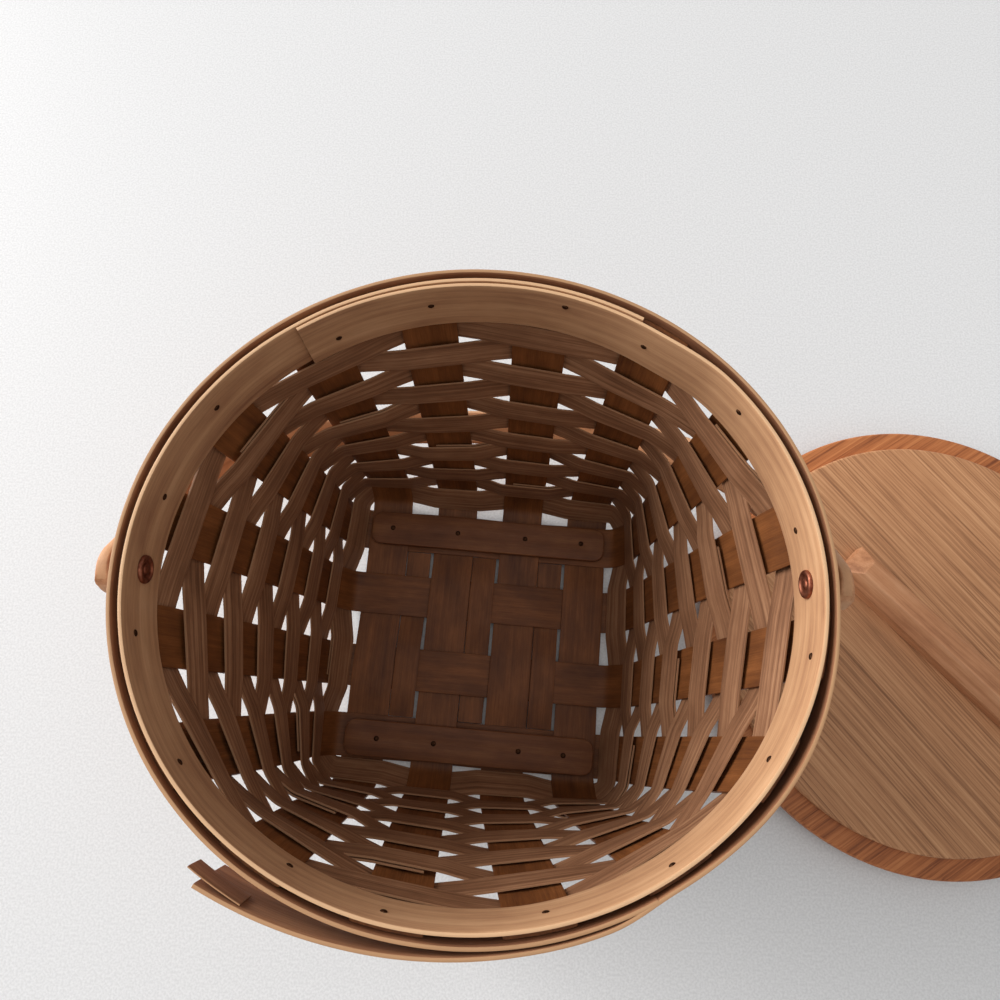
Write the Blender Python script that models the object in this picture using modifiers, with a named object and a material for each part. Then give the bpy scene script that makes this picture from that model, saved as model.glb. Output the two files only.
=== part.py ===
"""A woven splint basket with a swing handle, and its wooden lid lying beside it."""
import math

import bmesh
import bpy
from mathutils import Matrix, Vector

# Driving dimensions of the basket, in metres
RIM_RADIUS = 0.1525
HEIGHT = 0.235
BAND_HEIGHT = 0.0349
BASE_HALF_X = 0.098
BASE_HALF_Y = 0.101
STAKE_WIDTH = 0.0286
STAKE_THICKNESS = 0.0018
WEAVER_THICKNESS = 0.0014
BAND_THICKNESS = 0.0022
SLAT_THICKNESS = 0.0045
CLEARANCE = 0.0003

# Counts
WEAVERS = 12
STAKES_PER_SIDE = 4
STAKES = 4 * STAKES_PER_SIDE
LAP_STAKES = 1
LAP_STEP = 5
LAP_FIRST = 2
FOLD_STEPS = 3
ARCH_STEPS = 28
TIP_STEPS = 3
DISC_STEPS = 52
RIVET_STEPS = 20
HOLE_STEPS = 20
TACK_STEPS = 8
CORNER_STEPS = 3

# How the rim and the wall depart from a plain round and square
RIM_SHARE_Y = 0.93
WALL_POWER = 1.25
STAKE_SHARE = 0.25
BASE_TURN = math.radians(3.7)
BASE_SHIFT_X = -0.022 * RIM_RADIUS
BASE_SHIFT_Y = -0.061 * RIM_RADIUS

# The base
COLUMN_PITCH = 0.4857 * BASE_HALF_X
ROW_INNER = 0.2525 * BASE_HALF_Y
ROW_OUTER = 0.713 * BASE_HALF_Y
WEAVE_RISE = (STAKE_THICKNESS + CLEARANCE) / 2
SLIT = 1.1 * STAKE_THICKNESS
FILLER_THICKNESS = 0.55 * STAKE_THICKNESS
FILLER_WIDTH = COLUMN_PITCH - STAKE_WIDTH - SLIT - CLEARANCE
FILLER_RUN = 0.3 * FILLER_WIDTH
FILLER_RISE = 2.1 * WEAVE_RISE
SLAT_LENGTH = 0.8587 * 2 * BASE_HALF_X
SLAT_WIDTH = 0.825 * STAKE_WIDTH
SLAT_Y = 1.012 * ROW_OUTER
SLAT_ROUND = 0.3 * SLAT_WIDTH
BASE_LEVEL = SLAT_THICKNESS + CLEARANCE + STAKE_THICKNESS / 2 + WEAVE_RISE
SLAT_LEVEL = BASE_LEVEL + WEAVE_RISE + STAKE_THICKNESS / 2 + CLEARANCE
BACK_TACKS = (-0.41, -0.13, 0.16, 0.40)
FRONT_TACKS = (-0.37, -0.14, 0.20, 0.38)

# The wall
FOOT = 0.042 * HEIGHT
FOOT_CURVE = 0.14 * BASE_HALF_X
FRONT_CURVE = 0.22 * BASE_HALF_X
FOOT_CURVE_HEIGHT = 0.136 * HEIGHT
FOLD_START = ROW_OUTER + STAKE_WIDTH / 2 + CLEARANCE
BAND_LEVEL = HEIGHT - BAND_HEIGHT
WEAVE_TOP = BAND_LEVEL - 1.5 * WEAVER_THICKNESS
WEAVER_PITCH = (WEAVE_TOP - FOOT) / WEAVERS
WEAVER_EDGE = 0.016 * WEAVER_PITCH
STAKE_RADIUS = RIM_RADIUS - BAND_THICKNESS - CLEARANCE - STAKE_THICKNESS / 2
STAKE_TOP = HEIGHT - 3 * CLEARANCE
WEAVE_OFFSET = (STAKE_THICKNESS + WEAVER_THICKNESS) / 2 + CLEARANCE
SLACK_INSIDE = 1.3 * WEAVER_THICKNESS
SLACK_OUTSIDE = 0.3 * WEAVER_THICKNESS
LAP_OFFSET = WEAVER_THICKNESS + CLEARANCE
LAP_END_SHARE = 0.3

# The rim bands
BAND_OFFSET = (STAKE_THICKNESS + BAND_THICKNESS) / 2 + CLEARANCE
BAND_LAP = BAND_THICKNESS + CLEARANCE
INNER_START = 4.158
INNER_END = 7.082
OUTER_START = 11.72
OUTER_SPRING_END = 14.5
OUTER_RAMP = 14.83
OUTER_END = 14.78
OUTER_SPRING = 3.6 * BAND_THICKNESS

# The rivets and the swing handle
PIVOT_Z = HEIGHT - BAND_HEIGHT / 2
RIVET_RADIUS = 0.02 * RIM_RADIUS
HOLE_RADIUS = RIVET_RADIUS + CLEARANCE
BURR_RADIUS = 2.08 * RIVET_RADIUS
BURR_THICKNESS = 0.45 * RIVET_RADIUS
HEAD_RADIUS = 2 * RIVET_RADIUS
HEAD_HEIGHT = 0.75 * RIVET_RADIUS
PEEN_RADIUS = 1.4 * RIVET_RADIUS
SPACER_THICKNESS = 0.8 * RIVET_RADIUS
SPACER_RADIUS = 2.3 * RIVET_RADIUS
HANDLE_WIDTH = 0.77 * STAKE_WIDTH
HANDLE_THICKNESS = 0.22 * STAKE_WIDTH
SPACER_X = RIM_RADIUS + CLEARANCE
HANDLE_X = SPACER_X + SPACER_THICKNESS + CLEARANCE + HANDLE_THICKNESS / 2
HANDLE_REACH = 1.246 * RIM_RADIUS
HEAD_X = HANDLE_X + HANDLE_THICKNESS / 2 + CLEARANCE
ARCH_START = HANDLE_WIDTH / 2
ARCH_POWER = 0.74
ARCH_MARGIN = 0.7 * HANDLE_THICKNESS
TIP_ANGLE = math.radians(85)
LEAN_STEP = math.radians(0.25)
BURR_X = STAKE_RADIUS - BAND_OFFSET - BAND_THICKNESS / 2 - CLEARANCE - 0.15 * BURR_THICKNESS

# The tacks
TACK_RADIUS = 0.07 * STAKE_WIDTH
TACK_HEIGHT = 0.6 * TACK_RADIUS
TACK_SINK = TACK_HEIGHT / 2
TACK_SHARES = (0.10, -0.20, -0.07, 0.15, 0.13, -0.40, -0.10, -0.42,
               0.00, -0.27, 0.07, 0.20, 0.42, -0.10, 0.12, -0.02)
TACK_DROP_SHARES = (0.42, 0.30, 0.55, 0.36, 0.47, 0.25, 0.44, 0.62,
                    0.38, 0.50, 0.33, 0.41, 0.58, 0.37, 0.48, 0.29)

# The lid, which lies on the table
LID_RADIUS = 1.0033 * RIM_RADIUS
LID_X = 2 * LID_RADIUS
LID_Y = -0.03 * RIM_RADIUS
PLUG_RADIUS = 0.859 * RIM_RADIUS
PLUG_THICKNESS = 0.06 * RIM_RADIUS
BOARD_THICKNESS = 0.0485 * RIM_RADIUS
PANEL_RADIUS = 0.9045 * LID_RADIUS
PANEL_THICKNESS = 0.042 * RIM_RADIUS
BOARD_Z = PLUG_THICKNESS + CLEARANCE
PANEL_Z = BOARD_Z + BOARD_THICKNESS + CLEARANCE
LID_EDGE = 0.3 * PANEL_THICKNESS
BAR_Z = PANEL_Z + PANEL_THICKNESS + CLEARANCE
BAR_LENGTH = 0.98 * LID_RADIUS
BAR_WIDTH = 0.165 * LID_RADIUS
BAR_SIDE = 0.065 * LID_RADIUS
BAR_HEIGHT = 0.125 * LID_RADIUS
BAR_TOP_SHARE = 0.45
BAR_TURN = math.radians(-45)
SCREW_SPREAD = 0.3 * BAR_LENGTH
SCREW_RADIUS = 0.012 * LID_RADIUS
SCREW_HOLE = SCREW_RADIUS + CLEARANCE
SCREW_HEAD_RADIUS = 2 * SCREW_RADIUS
SCREW_HEAD_HEIGHT = 0.3 * PLUG_THICKNESS
SCREW_SINK = 1.4 * SCREW_HEAD_HEIGHT
SCREW_TOP = BAR_Z + 0.7 * BAR_HEIGHT

# Where the basket's axis stands when the origin is under the middle of the whole
BASKET_X = -(LID_X + LID_RADIUS - HEAD_X - HEAD_HEIGHT) / 2
BASKET_Y = -LID_Y

BASKET_WOOD = (0.105, 0.045, 0.018, 1.0)
BAND_WOOD = (0.42, 0.18, 0.08, 1.0)
LID_WOOD = (0.33, 0.14, 0.06, 1.0)
COPPER = (0.40, 0.14, 0.07, 1.0)
IRON = (0.05, 0.035, 0.03, 1.0)


# Setting up
def clear_scene():
    for obj in list(bpy.data.objects):
        bpy.data.objects.remove(obj)


def new_collection(name, helper=False):
    collection = bpy.data.collections.new(name)
    collection.hide_render = helper
    bpy.context.scene.collection.children.link(collection)
    return collection


def empty(name, place, parent=None):
    obj = bpy.data.objects.new(name, None)
    obj.location = place
    obj.parent = parent
    BASKET.objects.link(obj)
    return obj


def wood(obj, colour, roughness=0.6, metallic=0.0):
    material = bpy.data.materials.new(obj.name)
    material.use_nodes = True
    shader = material.node_tree.nodes["Principled BSDF"]
    shader.inputs["Base Color"].default_value = colour
    shader.inputs["Roughness"].default_value = roughness
    shader.inputs["Metallic"].default_value = metallic
    obj.data.materials.append(material)


def mesh_object(name, mesh, parent, colour, roughness=0.6, metallic=0.0):
    data = bpy.data.meshes.new(name)
    mesh.to_mesh(data)
    mesh.free()
    obj = bpy.data.objects.new(name, data)
    obj.parent = parent
    BASKET.objects.link(obj)
    wood(obj, colour, roughness, metallic)
    return obj


# Bent strips: a grid laid along pairs of edge points, then thickened both ways
def strip(name, edges, thickness, parent, colour, diagonal=1):
    mesh = bmesh.new()
    last = len(edges) - 1
    bmesh.ops.create_grid(mesh, x_segments=last, y_segments=1, size=1)
    for face in list(mesh.faces):
        corners = sorted(face.verts, key=lambda vert: (vert.co.x, diagonal * vert.co.y))
        bmesh.utils.face_split(face, corners[0], corners[-1])
    for vert in mesh.verts:
        step = round((vert.co.x + 1) / 2 * last)
        vert.co = edges[step][1] if vert.co.y > 0 else edges[step][0]
    obj = mesh_object(name, mesh, parent, colour)
    thicken = obj.modifiers.new("thickness", "SOLIDIFY")
    thicken.thickness = thickness
    thicken.offset = 0
    thicken.use_even_offset = True
    return obj


def helper(name, mesh, parent):
    data = bpy.data.meshes.new(name)
    mesh.to_mesh(data)
    mesh.free()
    obj = bpy.data.objects.new(name, data)
    obj.parent = parent
    obj.hide_render = True
    obj.display_type = "WIRE"
    CUTTERS.objects.link(obj)
    return obj


def cut(obj, place, turn, radius, length):
    mesh = bmesh.new()
    bmesh.ops.create_cone(mesh, cap_ends=True, segments=HOLE_STEPS, radius1=radius,
                          radius2=radius, depth=length)
    cutter = helper(obj.name + "_cutter", mesh, obj.parent)
    cutter.location = place
    cutter.rotation_euler = turn
    hole = obj.modifiers.new("hole", "BOOLEAN")
    hole.operation = "DIFFERENCE"
    hole.solver = "EXACT"
    hole.object = cutter


def turned(name, profile, steps, parent, place, turn, colour, closed=False, metal=False):
    mesh = bmesh.new()
    points = [mesh.verts.new((radius, 0, height)) for radius, height in profile]
    for first, second in zip(points, points[1:]):
        mesh.edges.new((first, second))
    if closed:
        mesh.edges.new((points[-1], points[0]))
    roughness = 0.35 if metal else 0.6
    obj = mesh_object(name, mesh, parent, colour, roughness, 1.0 if metal else 0.0)
    obj.location = place
    obj.rotation_euler = turn
    screw = obj.modifiers.new("turn", "SCREW")
    screw.steps = steps
    screw.render_steps = steps
    screw.use_merge_vertices = True
    screw.merge_threshold = CLEARANCE / 100
    screw.use_smooth_shade = True
    return obj


# The wall's shape: a rounded square at the foot that becomes the oval rim
def base_point(across, along):
    cosine = math.cos(BASE_TURN)
    sine = math.sin(BASE_TURN)
    x = BASE_SHIFT_X + cosine * across + sine * along
    y = BASE_SHIFT_Y - sine * across + cosine * along
    return Vector((x, y, 0))


def foot_sides(height):
    share = max(1 - max(height, FOOT / 2) / FOOT_CURVE_HEIGHT, 0)
    inset = FOOT_CURVE * share ** 2
    front = FRONT_CURVE * share ** 2
    return BASE_HALF_X - inset, BASE_HALF_Y - inset, BASE_HALF_Y - front


def spread_step(step, inner, outer):
    rows = (-outer, -inner, inner, outer)
    whole = min(int(step), len(rows) - 2)
    share = step - whole
    return rows[whole] * (1 - share) + rows[whole + 1] * share


def foot_of(side, step, height):
    half_x, back, front = foot_sides(height)
    column = spread_step(step, COLUMN_PITCH / 2, 1.5 * COLUMN_PITCH)
    row = spread_step(step, ROW_INNER, ROW_OUTER)
    feet = ((half_x, row), (-column, back), (-half_x, -row), (column, -front))
    return base_point(*feet[side % STAKES_PER_SIDE])


def corner_of(side, height):
    half_x, back, front = foot_sides(height)
    corners = ((half_x, back), (-half_x, back), (-half_x, -front), (half_x, -front))
    return base_point(*corners[side % STAKES_PER_SIDE])


def corner_gap(side, share, height):
    start = foot_of(side, STAKES_PER_SIDE - 1, height)
    end = foot_of(side + 1, 0, height)
    leaving = (start - foot_of(side, 0, height)).normalized()
    arriving = (foot_of(side + 1, 1, height) - end).normalized()
    start_edge = start + leaving * STAKE_WIDTH / 2
    end_edge = end - arriving * STAKE_WIDTH / 2
    if share < STAKE_SHARE:
        return start.lerp(start_edge, share / STAKE_SHARE)
    if share > 1 - STAKE_SHARE:
        return end.lerp(end_edge, (1 - share) / STAKE_SHARE)
    along = (share - STAKE_SHARE) / (1 - 2 * STAKE_SHARE)
    corner = corner_of(side, height)
    return start_edge.lerp(corner, along).lerp(corner.lerp(end_edge, along), along)


def foot_at(turn, height):
    side = int(turn % STAKES // STAKES_PER_SIDE)
    step = turn % STAKES_PER_SIDE
    last = STAKES_PER_SIDE - 1
    if step <= last:
        return foot_of(side, step, height)
    return corner_gap(side, step - last, height)


def rim_angle(turn):
    return math.tau * (turn - (STAKES_PER_SIDE - 1) / 2) / STAKES


def rim_at(turn, radius):
    angle = rim_angle(turn)
    return Vector((radius * math.cos(angle), RIM_SHARE_Y * radius * math.sin(angle), 0))


def spread_at(height):
    return min(max(height, 0) / BAND_LEVEL, 1) ** WALL_POWER


def wall_at(turn, height):
    point = foot_at(turn, height).lerp(rim_at(turn, STAKE_RADIUS), spread_at(height))
    point.z = height
    return point


def along_wall(turn, height):
    side = int(round(turn) % STAKES // STAKES_PER_SIDE)
    straight = (foot_of(side, 1, height) - foot_of(side, 0, height)).normalized()
    angle = rim_angle(turn)
    bent = Vector((-math.sin(angle), RIM_SHARE_Y * math.cos(angle), 0)).normalized()
    return straight.lerp(bent, spread_at(height)).normalized()


def outward_at(turn, height, along=None):
    if along is None:
        near = 0.5 / STAKES_PER_SIDE
        along = (wall_at(turn + near, height) - wall_at(turn - near, height)).normalized()
    below = max(min(height, BAND_LEVEL) - FOOT, 0)
    if height >= BAND_LEVEL:
        up = Vector((0, 0, 1))
    else:
        up = wall_at(turn, below + 2 * FOOT) - wall_at(turn, below)
    return along.cross(up).normalized()


def stake_centre(stake, height):
    along = along_wall(stake, height)
    sag = STAKE_WIDTH ** 2 / (8 * STAKE_RADIUS) * spread_at(height)
    outward = Vector((along.y, -along.x, 0))
    return wall_at(stake, height) - outward * sag


# A place on the wall: on a stake at a share of its width, or midway to the next stake
def wall_place(place, height, offset):
    stake, share = place
    if share is None:
        turn = stake + 0.5
        return wall_at(turn, height) + outward_at(turn, height) * offset
    along = along_wall(stake, height)
    across = along * (share * STAKE_WIDTH)
    return stake_centre(stake, height) + across + outward_at(stake, height, along) * offset


# The stakes: across the base, round the fold and up both walls
def wall_stations(stake, flip):
    levels = [FOOT + step * WEAVER_PITCH for step in range(WEAVERS + 1)]
    levels += [BAND_LEVEL, STAKE_TOP]
    stations = []
    for level in levels:
        near = wall_place((stake, -0.5), level, 0)
        far = wall_place((stake, 0.5), level, 0)
        stations.append((far, near) if flip else (near, far))
    return stations


def fold_stations(flat, upright):
    stations = []
    for step in range(1, FOLD_STEPS):
        share = step / FOLD_STEPS
        pair = []
        for start, end in zip(flat, upright):
            bend = Vector((end.x, end.y, start.z))
            pair.append(start.lerp(bend, share).lerp(bend.lerp(end, share), share))
        stations.append(tuple(pair))
    return stations


def base_pair(across, along, turned_row, level):
    half = STAKE_WIDTH / 2
    if turned_row:
        pair = (base_point(along, across - half), base_point(along, across + half))
    else:
        pair = (base_point(across - half, along), base_point(across + half, along))
    for point in pair:
        point.z = level
    return pair


def stake_name(kind, index):
    return "stake_%s_%d" % (kind, index + 1)


def column_x(column):
    return (column - (STAKES_PER_SIDE - 1) / 2) * COLUMN_PITCH


def row_y(row):
    return -spread_step(row, ROW_INNER, ROW_OUTER)


def column_side(row, column):
    return -1 if (row + column) % 2 else 1


def column_stake(column, parent):
    front = wall_stations(3 * STAKES_PER_SIDE + column, False)
    back = wall_stations(2 * STAKES_PER_SIDE - 1 - column, True)
    across = column_x(column)
    crossings = []
    for row in reversed(range(STAKES_PER_SIDE)):
        level = BASE_LEVEL + column_side(row, column) * WEAVE_RISE
        for edge in (-STAKE_WIDTH / 2, STAKE_WIDTH / 2):
            crossings.append((row_y(row) + edge, level))
    crossings[0] = (-FOLD_START, crossings[0][1])
    crossings[-1] = (FOLD_START, crossings[-1][1])
    flat = [base_pair(across, along, False, level) for along, level in crossings]
    path = list(reversed(front)) + list(reversed(fold_stations(flat[0], front[0])))
    path += flat + fold_stations(flat[-1], back[0]) + back
    strip(stake_name("column", column), path, STAKE_THICKNESS, parent, BASKET_WOOD, diagonal=-1)


def row_crossings(row):
    inner_row = 0 < row < STAKES_PER_SIDE - 1
    crossings = []
    for column in range(STAKES_PER_SIDE):
        level = BASE_LEVEL - column_side(row, column) * WEAVE_RISE
        edge = column_x(column) + STAKE_WIDTH / 2
        if inner_row and column < STAKES_PER_SIDE - 1:
            edge += CLEARANCE + FILLER_WIDTH - FILLER_RUN
        crossings.append((column_x(column) - STAKE_WIDTH / 2, level))
        crossings.append((edge, level))
    return crossings


def row_stake(row, parent):
    left = wall_stations(2 * STAKES_PER_SIDE + row, True)
    right = wall_stations(STAKES_PER_SIDE - 1 - row, False)
    crossings = row_crossings(row)
    crossings[0] = (-FOLD_START, crossings[0][1])
    crossings[-1] = (FOLD_START, crossings[-1][1])
    flat = [base_pair(row_y(row), along, True, level) for along, level in crossings]
    path = list(reversed(left)) + list(reversed(fold_stations(flat[0], left[0])))
    path += flat + fold_stations(flat[-1], right[0]) + right
    strip(stake_name("row", row), path, STAKE_THICKNESS, parent, BASKET_WOOD)


# The fillers: narrow strips beside the first three columns, woven through the two middle rows
def filler(column, parent):
    low = column_x(column) + STAKE_WIDTH / 2 + CLEARANCE
    high = low + FILLER_WIDTH
    end = row_y(0) - STAKE_WIDTH / 2 - CLEARANCE
    marks = [(-end, BASE_LEVEL)]
    for row in (2, 1):
        level = BASE_LEVEL + column_side(row, column) * FILLER_RISE
        marks.append((row_y(row) - STAKE_WIDTH / 2, level))
        marks.append((row_y(row) + STAKE_WIDTH / 2, level))
    marks.append((end, BASE_LEVEL))
    edges = []
    for along, level in marks:
        pair = (base_point(low, along), base_point(high, along))
        for point in pair:
            point.z = level
        edges.append(pair)
    strip("filler_%d" % (column + 1), edges, FILLER_THICKNESS, parent, BASKET_WOOD)


# The weavers: round the wall, in and out of the stakes, and over their own start
def weaver_side(weaver, stake):
    return -1 if (weaver + stake) % 2 else 1


def weave_offset(side, level):
    slack = SLACK_OUTSIDE if side > 0 else SLACK_INSIDE
    return side * (WEAVE_OFFSET + slack * level / BAND_LEVEL)


def weaver_places(weaver, level):
    first = (LAP_STEP * weaver + LAP_FIRST) % STAKES
    last = first + LAP_STAKES
    places = []
    for stake in range(first, last + STAKES + 1):
        under = stake <= last
        over = stake >= first + STAKES
        side = weaver_side(weaver, stake)
        offset = weave_offset(side, level)
        if under and side < 0:
            offset -= LAP_OFFSET
        if over and side > 0:
            offset += LAP_OFFSET
        start = -LAP_END_SHARE if stake == first else -0.5
        end = LAP_END_SHARE if stake == last + STAKES else 0.5
        places.append(((stake, start), offset))
        places.append(((stake, end), offset))
        middle = -LAP_OFFSET / 2 if under else LAP_OFFSET / 2 if over else 0
        if stake == last:
            middle = 0
        if stake < last + STAKES:
            places.append(((stake, None), middle))
    return places


def weaver_edges(weaver):
    top = WEAVE_TOP - weaver * WEAVER_PITCH - WEAVER_EDGE
    bottom = top - WEAVER_PITCH + 2 * WEAVER_EDGE
    edges = []
    for place, offset in weaver_places(weaver, bottom):
        edges.append((wall_place(place, bottom, offset), wall_place(place, top, offset)))
    return edges


def weaver(index, parent):
    name = "weaver_%02d" % (index + 1)
    strip(name, weaver_edges(index), WEAVER_THICKNESS, parent, BASKET_WOOD)


# The rim bands: bent strips inside and outside the stakes' tops
def share_on(turn):
    stake = round(turn)
    pitch = math.tau / STAKES * STAKE_RADIUS
    return stake, (turn - stake) * pitch / STAKE_WIDTH


def band_turn(place):
    stake, share = place
    if share is None:
        return stake + 0.5
    return stake + share * STAKE_WIDTH / (math.tau / STAKES * STAKE_RADIUS)


def places_between(start, end):
    places = [share_on(start)]
    for stake in range(math.floor(start), math.ceil(end) + 1):
        for place in ((stake, -0.5), (stake, 0.5), (stake, None)):
            if start < band_turn(place) < end:
                places.append(place)
    places.append(share_on(end))
    return places


def band_edges(places, offset_at):
    edges = []
    for place in places:
        offset = offset_at(band_turn(place))
        low = wall_place(place, BAND_LEVEL + CLEARANCE, offset)
        high = wall_place(place, HEIGHT, offset)
        low.x, low.y = high.x, high.y
        edges.append((low, high))
    return edges


def inner_offset(turn):
    behind = turn > STAKES + math.floor(INNER_START) - 0.3
    return -BAND_OFFSET - (BAND_LAP if behind else 0)


def outer_offset(turn):
    if turn > OUTER_RAMP:
        return BAND_OFFSET
    share = (OUTER_SPRING_END - turn) / (OUTER_SPRING_END - OUTER_START)
    return BAND_OFFSET + BAND_LAP + OUTER_SPRING * max(share, 0) ** 2


def inner_band(parent):
    places = places_between(INNER_START, STAKES + INNER_END)
    band = strip("rim_inner_band", band_edges(places, inner_offset), BAND_THICKNESS, parent, BAND_WOOD)
    rim_tacks(band)
    rivet_holes(band)


def outer_band(parent):
    places = places_between(OUTER_START, OUTER_RAMP)
    places += places_between(OUTER_RAMP, STAKES + OUTER_END)[1:]
    band = strip("rim_outer_band", band_edges(places, outer_offset), BAND_THICKNESS, parent, BAND_WOOD)
    rivet_holes(band)


def rivet_holes(band):
    turn = (0, math.pi / 2, 0)
    for side in (-1, 1):
        place = (side * STAKE_RADIUS, 0, PIVOT_Z)
        cut(band, place, turn, HOLE_RADIUS, 8 * BAND_THICKNESS)


# The base slats and runners
def slat(name, side, level, parent):
    mesh = bmesh.new()
    bmesh.ops.create_cube(mesh, size=1)
    size = Matrix.Diagonal((SLAT_LENGTH, SLAT_WIDTH, SLAT_THICKNESS, 1))
    bmesh.ops.transform(mesh, matrix=size, verts=mesh.verts)
    upright = [edge for edge in mesh.edges if edge.verts[0].co.xy == edge.verts[1].co.xy]
    bmesh.ops.bevel(mesh, geom=upright, offset=SLAT_ROUND, segments=CORNER_STEPS, profile=0.5,
                    affect="EDGES")
    obj = mesh_object(name, mesh, parent, BASKET_WOOD)
    obj.location = base_point(0, side * SLAT_Y)
    obj.location.z = level + SLAT_THICKNESS / 2
    obj.rotation_euler = (0, 0, -BASE_TURN)
    soften = obj.modifiers.new("soft_edges", "BEVEL")
    soften.width = SLAT_THICKNESS / 8
    soften.segments = 1
    return obj


# Tacks: low domed heads, joined to the band or slat that they are driven into
def add_head(mesh, matrix):
    made = bmesh.ops.create_cone(mesh, cap_ends=True, segments=TACK_STEPS, radius1=TACK_RADIUS,
                                 radius2=0.55 * TACK_RADIUS, depth=TACK_HEIGHT)
    lift = Matrix.Translation((0, 0, TACK_HEIGHT / 2 - TACK_SINK))
    bmesh.ops.transform(mesh, matrix=matrix @ lift, verts=made["verts"])


def facing(place, direction):
    turn = direction.to_track_quat("Z", "Y").to_matrix().to_4x4()
    return Matrix.Translation(place) @ turn


def rim_tacks(band):
    mesh = bmesh.new()
    for stake, (share, drop) in enumerate(zip(TACK_SHARES, TACK_DROP_SHARES)):
        turn = band_turn((stake, share))
        lapped = INNER_START - 0.4 < turn < INNER_END - 0.1
        offset = -BAND_OFFSET - BAND_THICKNESS / 2 - (BAND_LAP if lapped else 0)
        point = wall_place((stake, share), HEIGHT - drop * BAND_HEIGHT, offset)
        inward = -outward_at(stake, HEIGHT, along_wall(stake, HEIGHT))
        add_head(mesh, facing(point, inward))
    add_heads(band, mesh)


def slat_tacks(board, shares):
    mesh = bmesh.new()
    for share in shares:
        place = Matrix.Translation((share * SLAT_LENGTH, 0, SLAT_THICKNESS / 2))
        add_head(mesh, place)
    heads = add_heads(board, mesh)
    heads.location = board.location
    heads.rotation_euler = board.rotation_euler


def add_heads(obj, mesh):
    heads = helper(obj.name + "_tack_heads", mesh, obj.parent)
    join = obj.modifiers.new("tack_heads", "BOOLEAN")
    join.operation = "UNION"
    join.solver = "EXACT"
    join.object = heads
    return heads


# The rivets, their burrs and spacers
def rivet(name, side, parent):
    peen = BURR_X - BURR_THICKNESS - CLEARANCE
    profile = [(0, HEAD_X + HEAD_HEIGHT), (HEAD_RADIUS * 0.6, HEAD_X + HEAD_HEIGHT * 0.8),
               (HEAD_RADIUS, HEAD_X), (RIVET_RADIUS, HEAD_X), (RIVET_RADIUS, peen),
               (PEEN_RADIUS, peen), (PEEN_RADIUS * 0.7, peen - HEAD_HEIGHT / 2),
               (0, peen - HEAD_HEIGHT * 0.6)]
    turn = (0, side * math.pi / 2, 0)
    turned(name, profile, RIVET_STEPS, parent, (0, 0, PIVOT_Z), turn, COPPER, metal=True)


def ring(name, side, radius, near, thickness, parent, colour):
    profile = [(HOLE_RADIUS, near + thickness), (radius, near + thickness), (radius, near),
               (HOLE_RADIUS, near)]
    turn = (0, side * math.pi / 2, 0)
    turned(name, profile, RIVET_STEPS, parent, (0, 0, PIVOT_Z), turn, colour, closed=True, metal=True)


# The swing handle: a bent strap whose ends turn on the rivets
def arch_point(angle):
    across = math.copysign(abs(math.cos(angle)) ** ARCH_POWER, math.cos(angle))
    along = ARCH_START + (HANDLE_REACH - ARCH_START) * math.sin(angle) ** ARCH_POWER
    return HANDLE_X * across, along


def handle_edges():
    half = HANDLE_WIDTH / 2
    tips = []
    for step in range(TIP_STEPS):
        angle = TIP_ANGLE * (1 - step / TIP_STEPS)
        tips.append((-half * math.sin(angle), half * math.cos(angle)))
    tips.append((0, half))
    places = [(HANDLE_X, along, reach) for along, reach in tips]
    for step in range(ARCH_STEPS + 1):
        x, along = arch_point(math.pi * step / ARCH_STEPS)
        places.append((x, along, half))
    places += [(-HANDLE_X, along, reach) for along, reach in reversed(tips)]
    return places


def wall_face_points():
    points = []
    for index in range(WEAVERS):
        edges = weaver_edges(index)
        for pair, after in zip(edges, edges[1:]):
            for share in (0, 0.5):
                low = pair[0].lerp(after[0], share)
                high = pair[1].lerp(after[1], share)
                points += [low, high, low.lerp(high, 0.5)]
    return [outward_face(point) for point in points if point.y > 0]


def inside_arch(across, along):
    if along < ARCH_START:
        return True
    wide = abs(across) / (HANDLE_X - ARCH_MARGIN)
    deep = (along - ARCH_START) / (HANDLE_REACH - ARCH_START - ARCH_MARGIN)
    return wide ** (2 / ARCH_POWER) + deep ** (2 / ARCH_POWER) < 1


def touches(points, angle):
    reach = Vector((0, math.cos(angle), -math.sin(angle)))
    cross = Vector((0, math.sin(angle), math.cos(angle)))
    half = HANDLE_WIDTH / 2 + CLEARANCE
    near = [point for point in points if abs(point.dot(cross)) < half]
    return any(not inside_arch(point.x, point.dot(reach)) for point in near)


# How far below level the handle hangs before it rests on the back wall
def lean_angle():
    points = wall_face_points()
    angle = 0
    while angle < math.pi / 2 and not touches(points, angle):
        angle += LEAN_STEP
    return angle - LEAN_STEP


def outward_face(point):
    flat = Vector((point.x, point.y, 0))
    moved = point + flat.normalized() * (WEAVER_THICKNESS / 2 + CLEARANCE)
    return moved - Vector((0, 0, PIVOT_Z))


def swing_handle(pivot, angle):
    reach = Vector((0, math.cos(angle), -math.sin(angle)))
    cross = Vector((0, math.sin(angle), math.cos(angle)))
    edges = []
    for x, along, half in handle_edges():
        middle = Vector((x, 0, 0)) + reach * along
        edges.append((middle - cross * half, middle + cross * half))
    handle = strip("swing_handle", edges, HANDLE_THICKNESS, pivot, BAND_WOOD)
    for side in (-1, 1):
        place = (side * HANDLE_X, 0, 0)
        cut(handle, place, (0, math.pi / 2, 0), HOLE_RADIUS, 3 * HANDLE_THICKNESS)


# The lid: a plug that drops inside the rim, a board that covers it, a panel and a bar to lift it by
def disc_profile(radius, low, thickness, edge):
    high = low + thickness
    return [(0, high), (radius - edge, high), (radius - 0.3 * edge, high - 0.3 * edge),
            (radius, high - edge), (radius, low + edge / 2), (radius - edge / 2, low), (0, low)]


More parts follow.
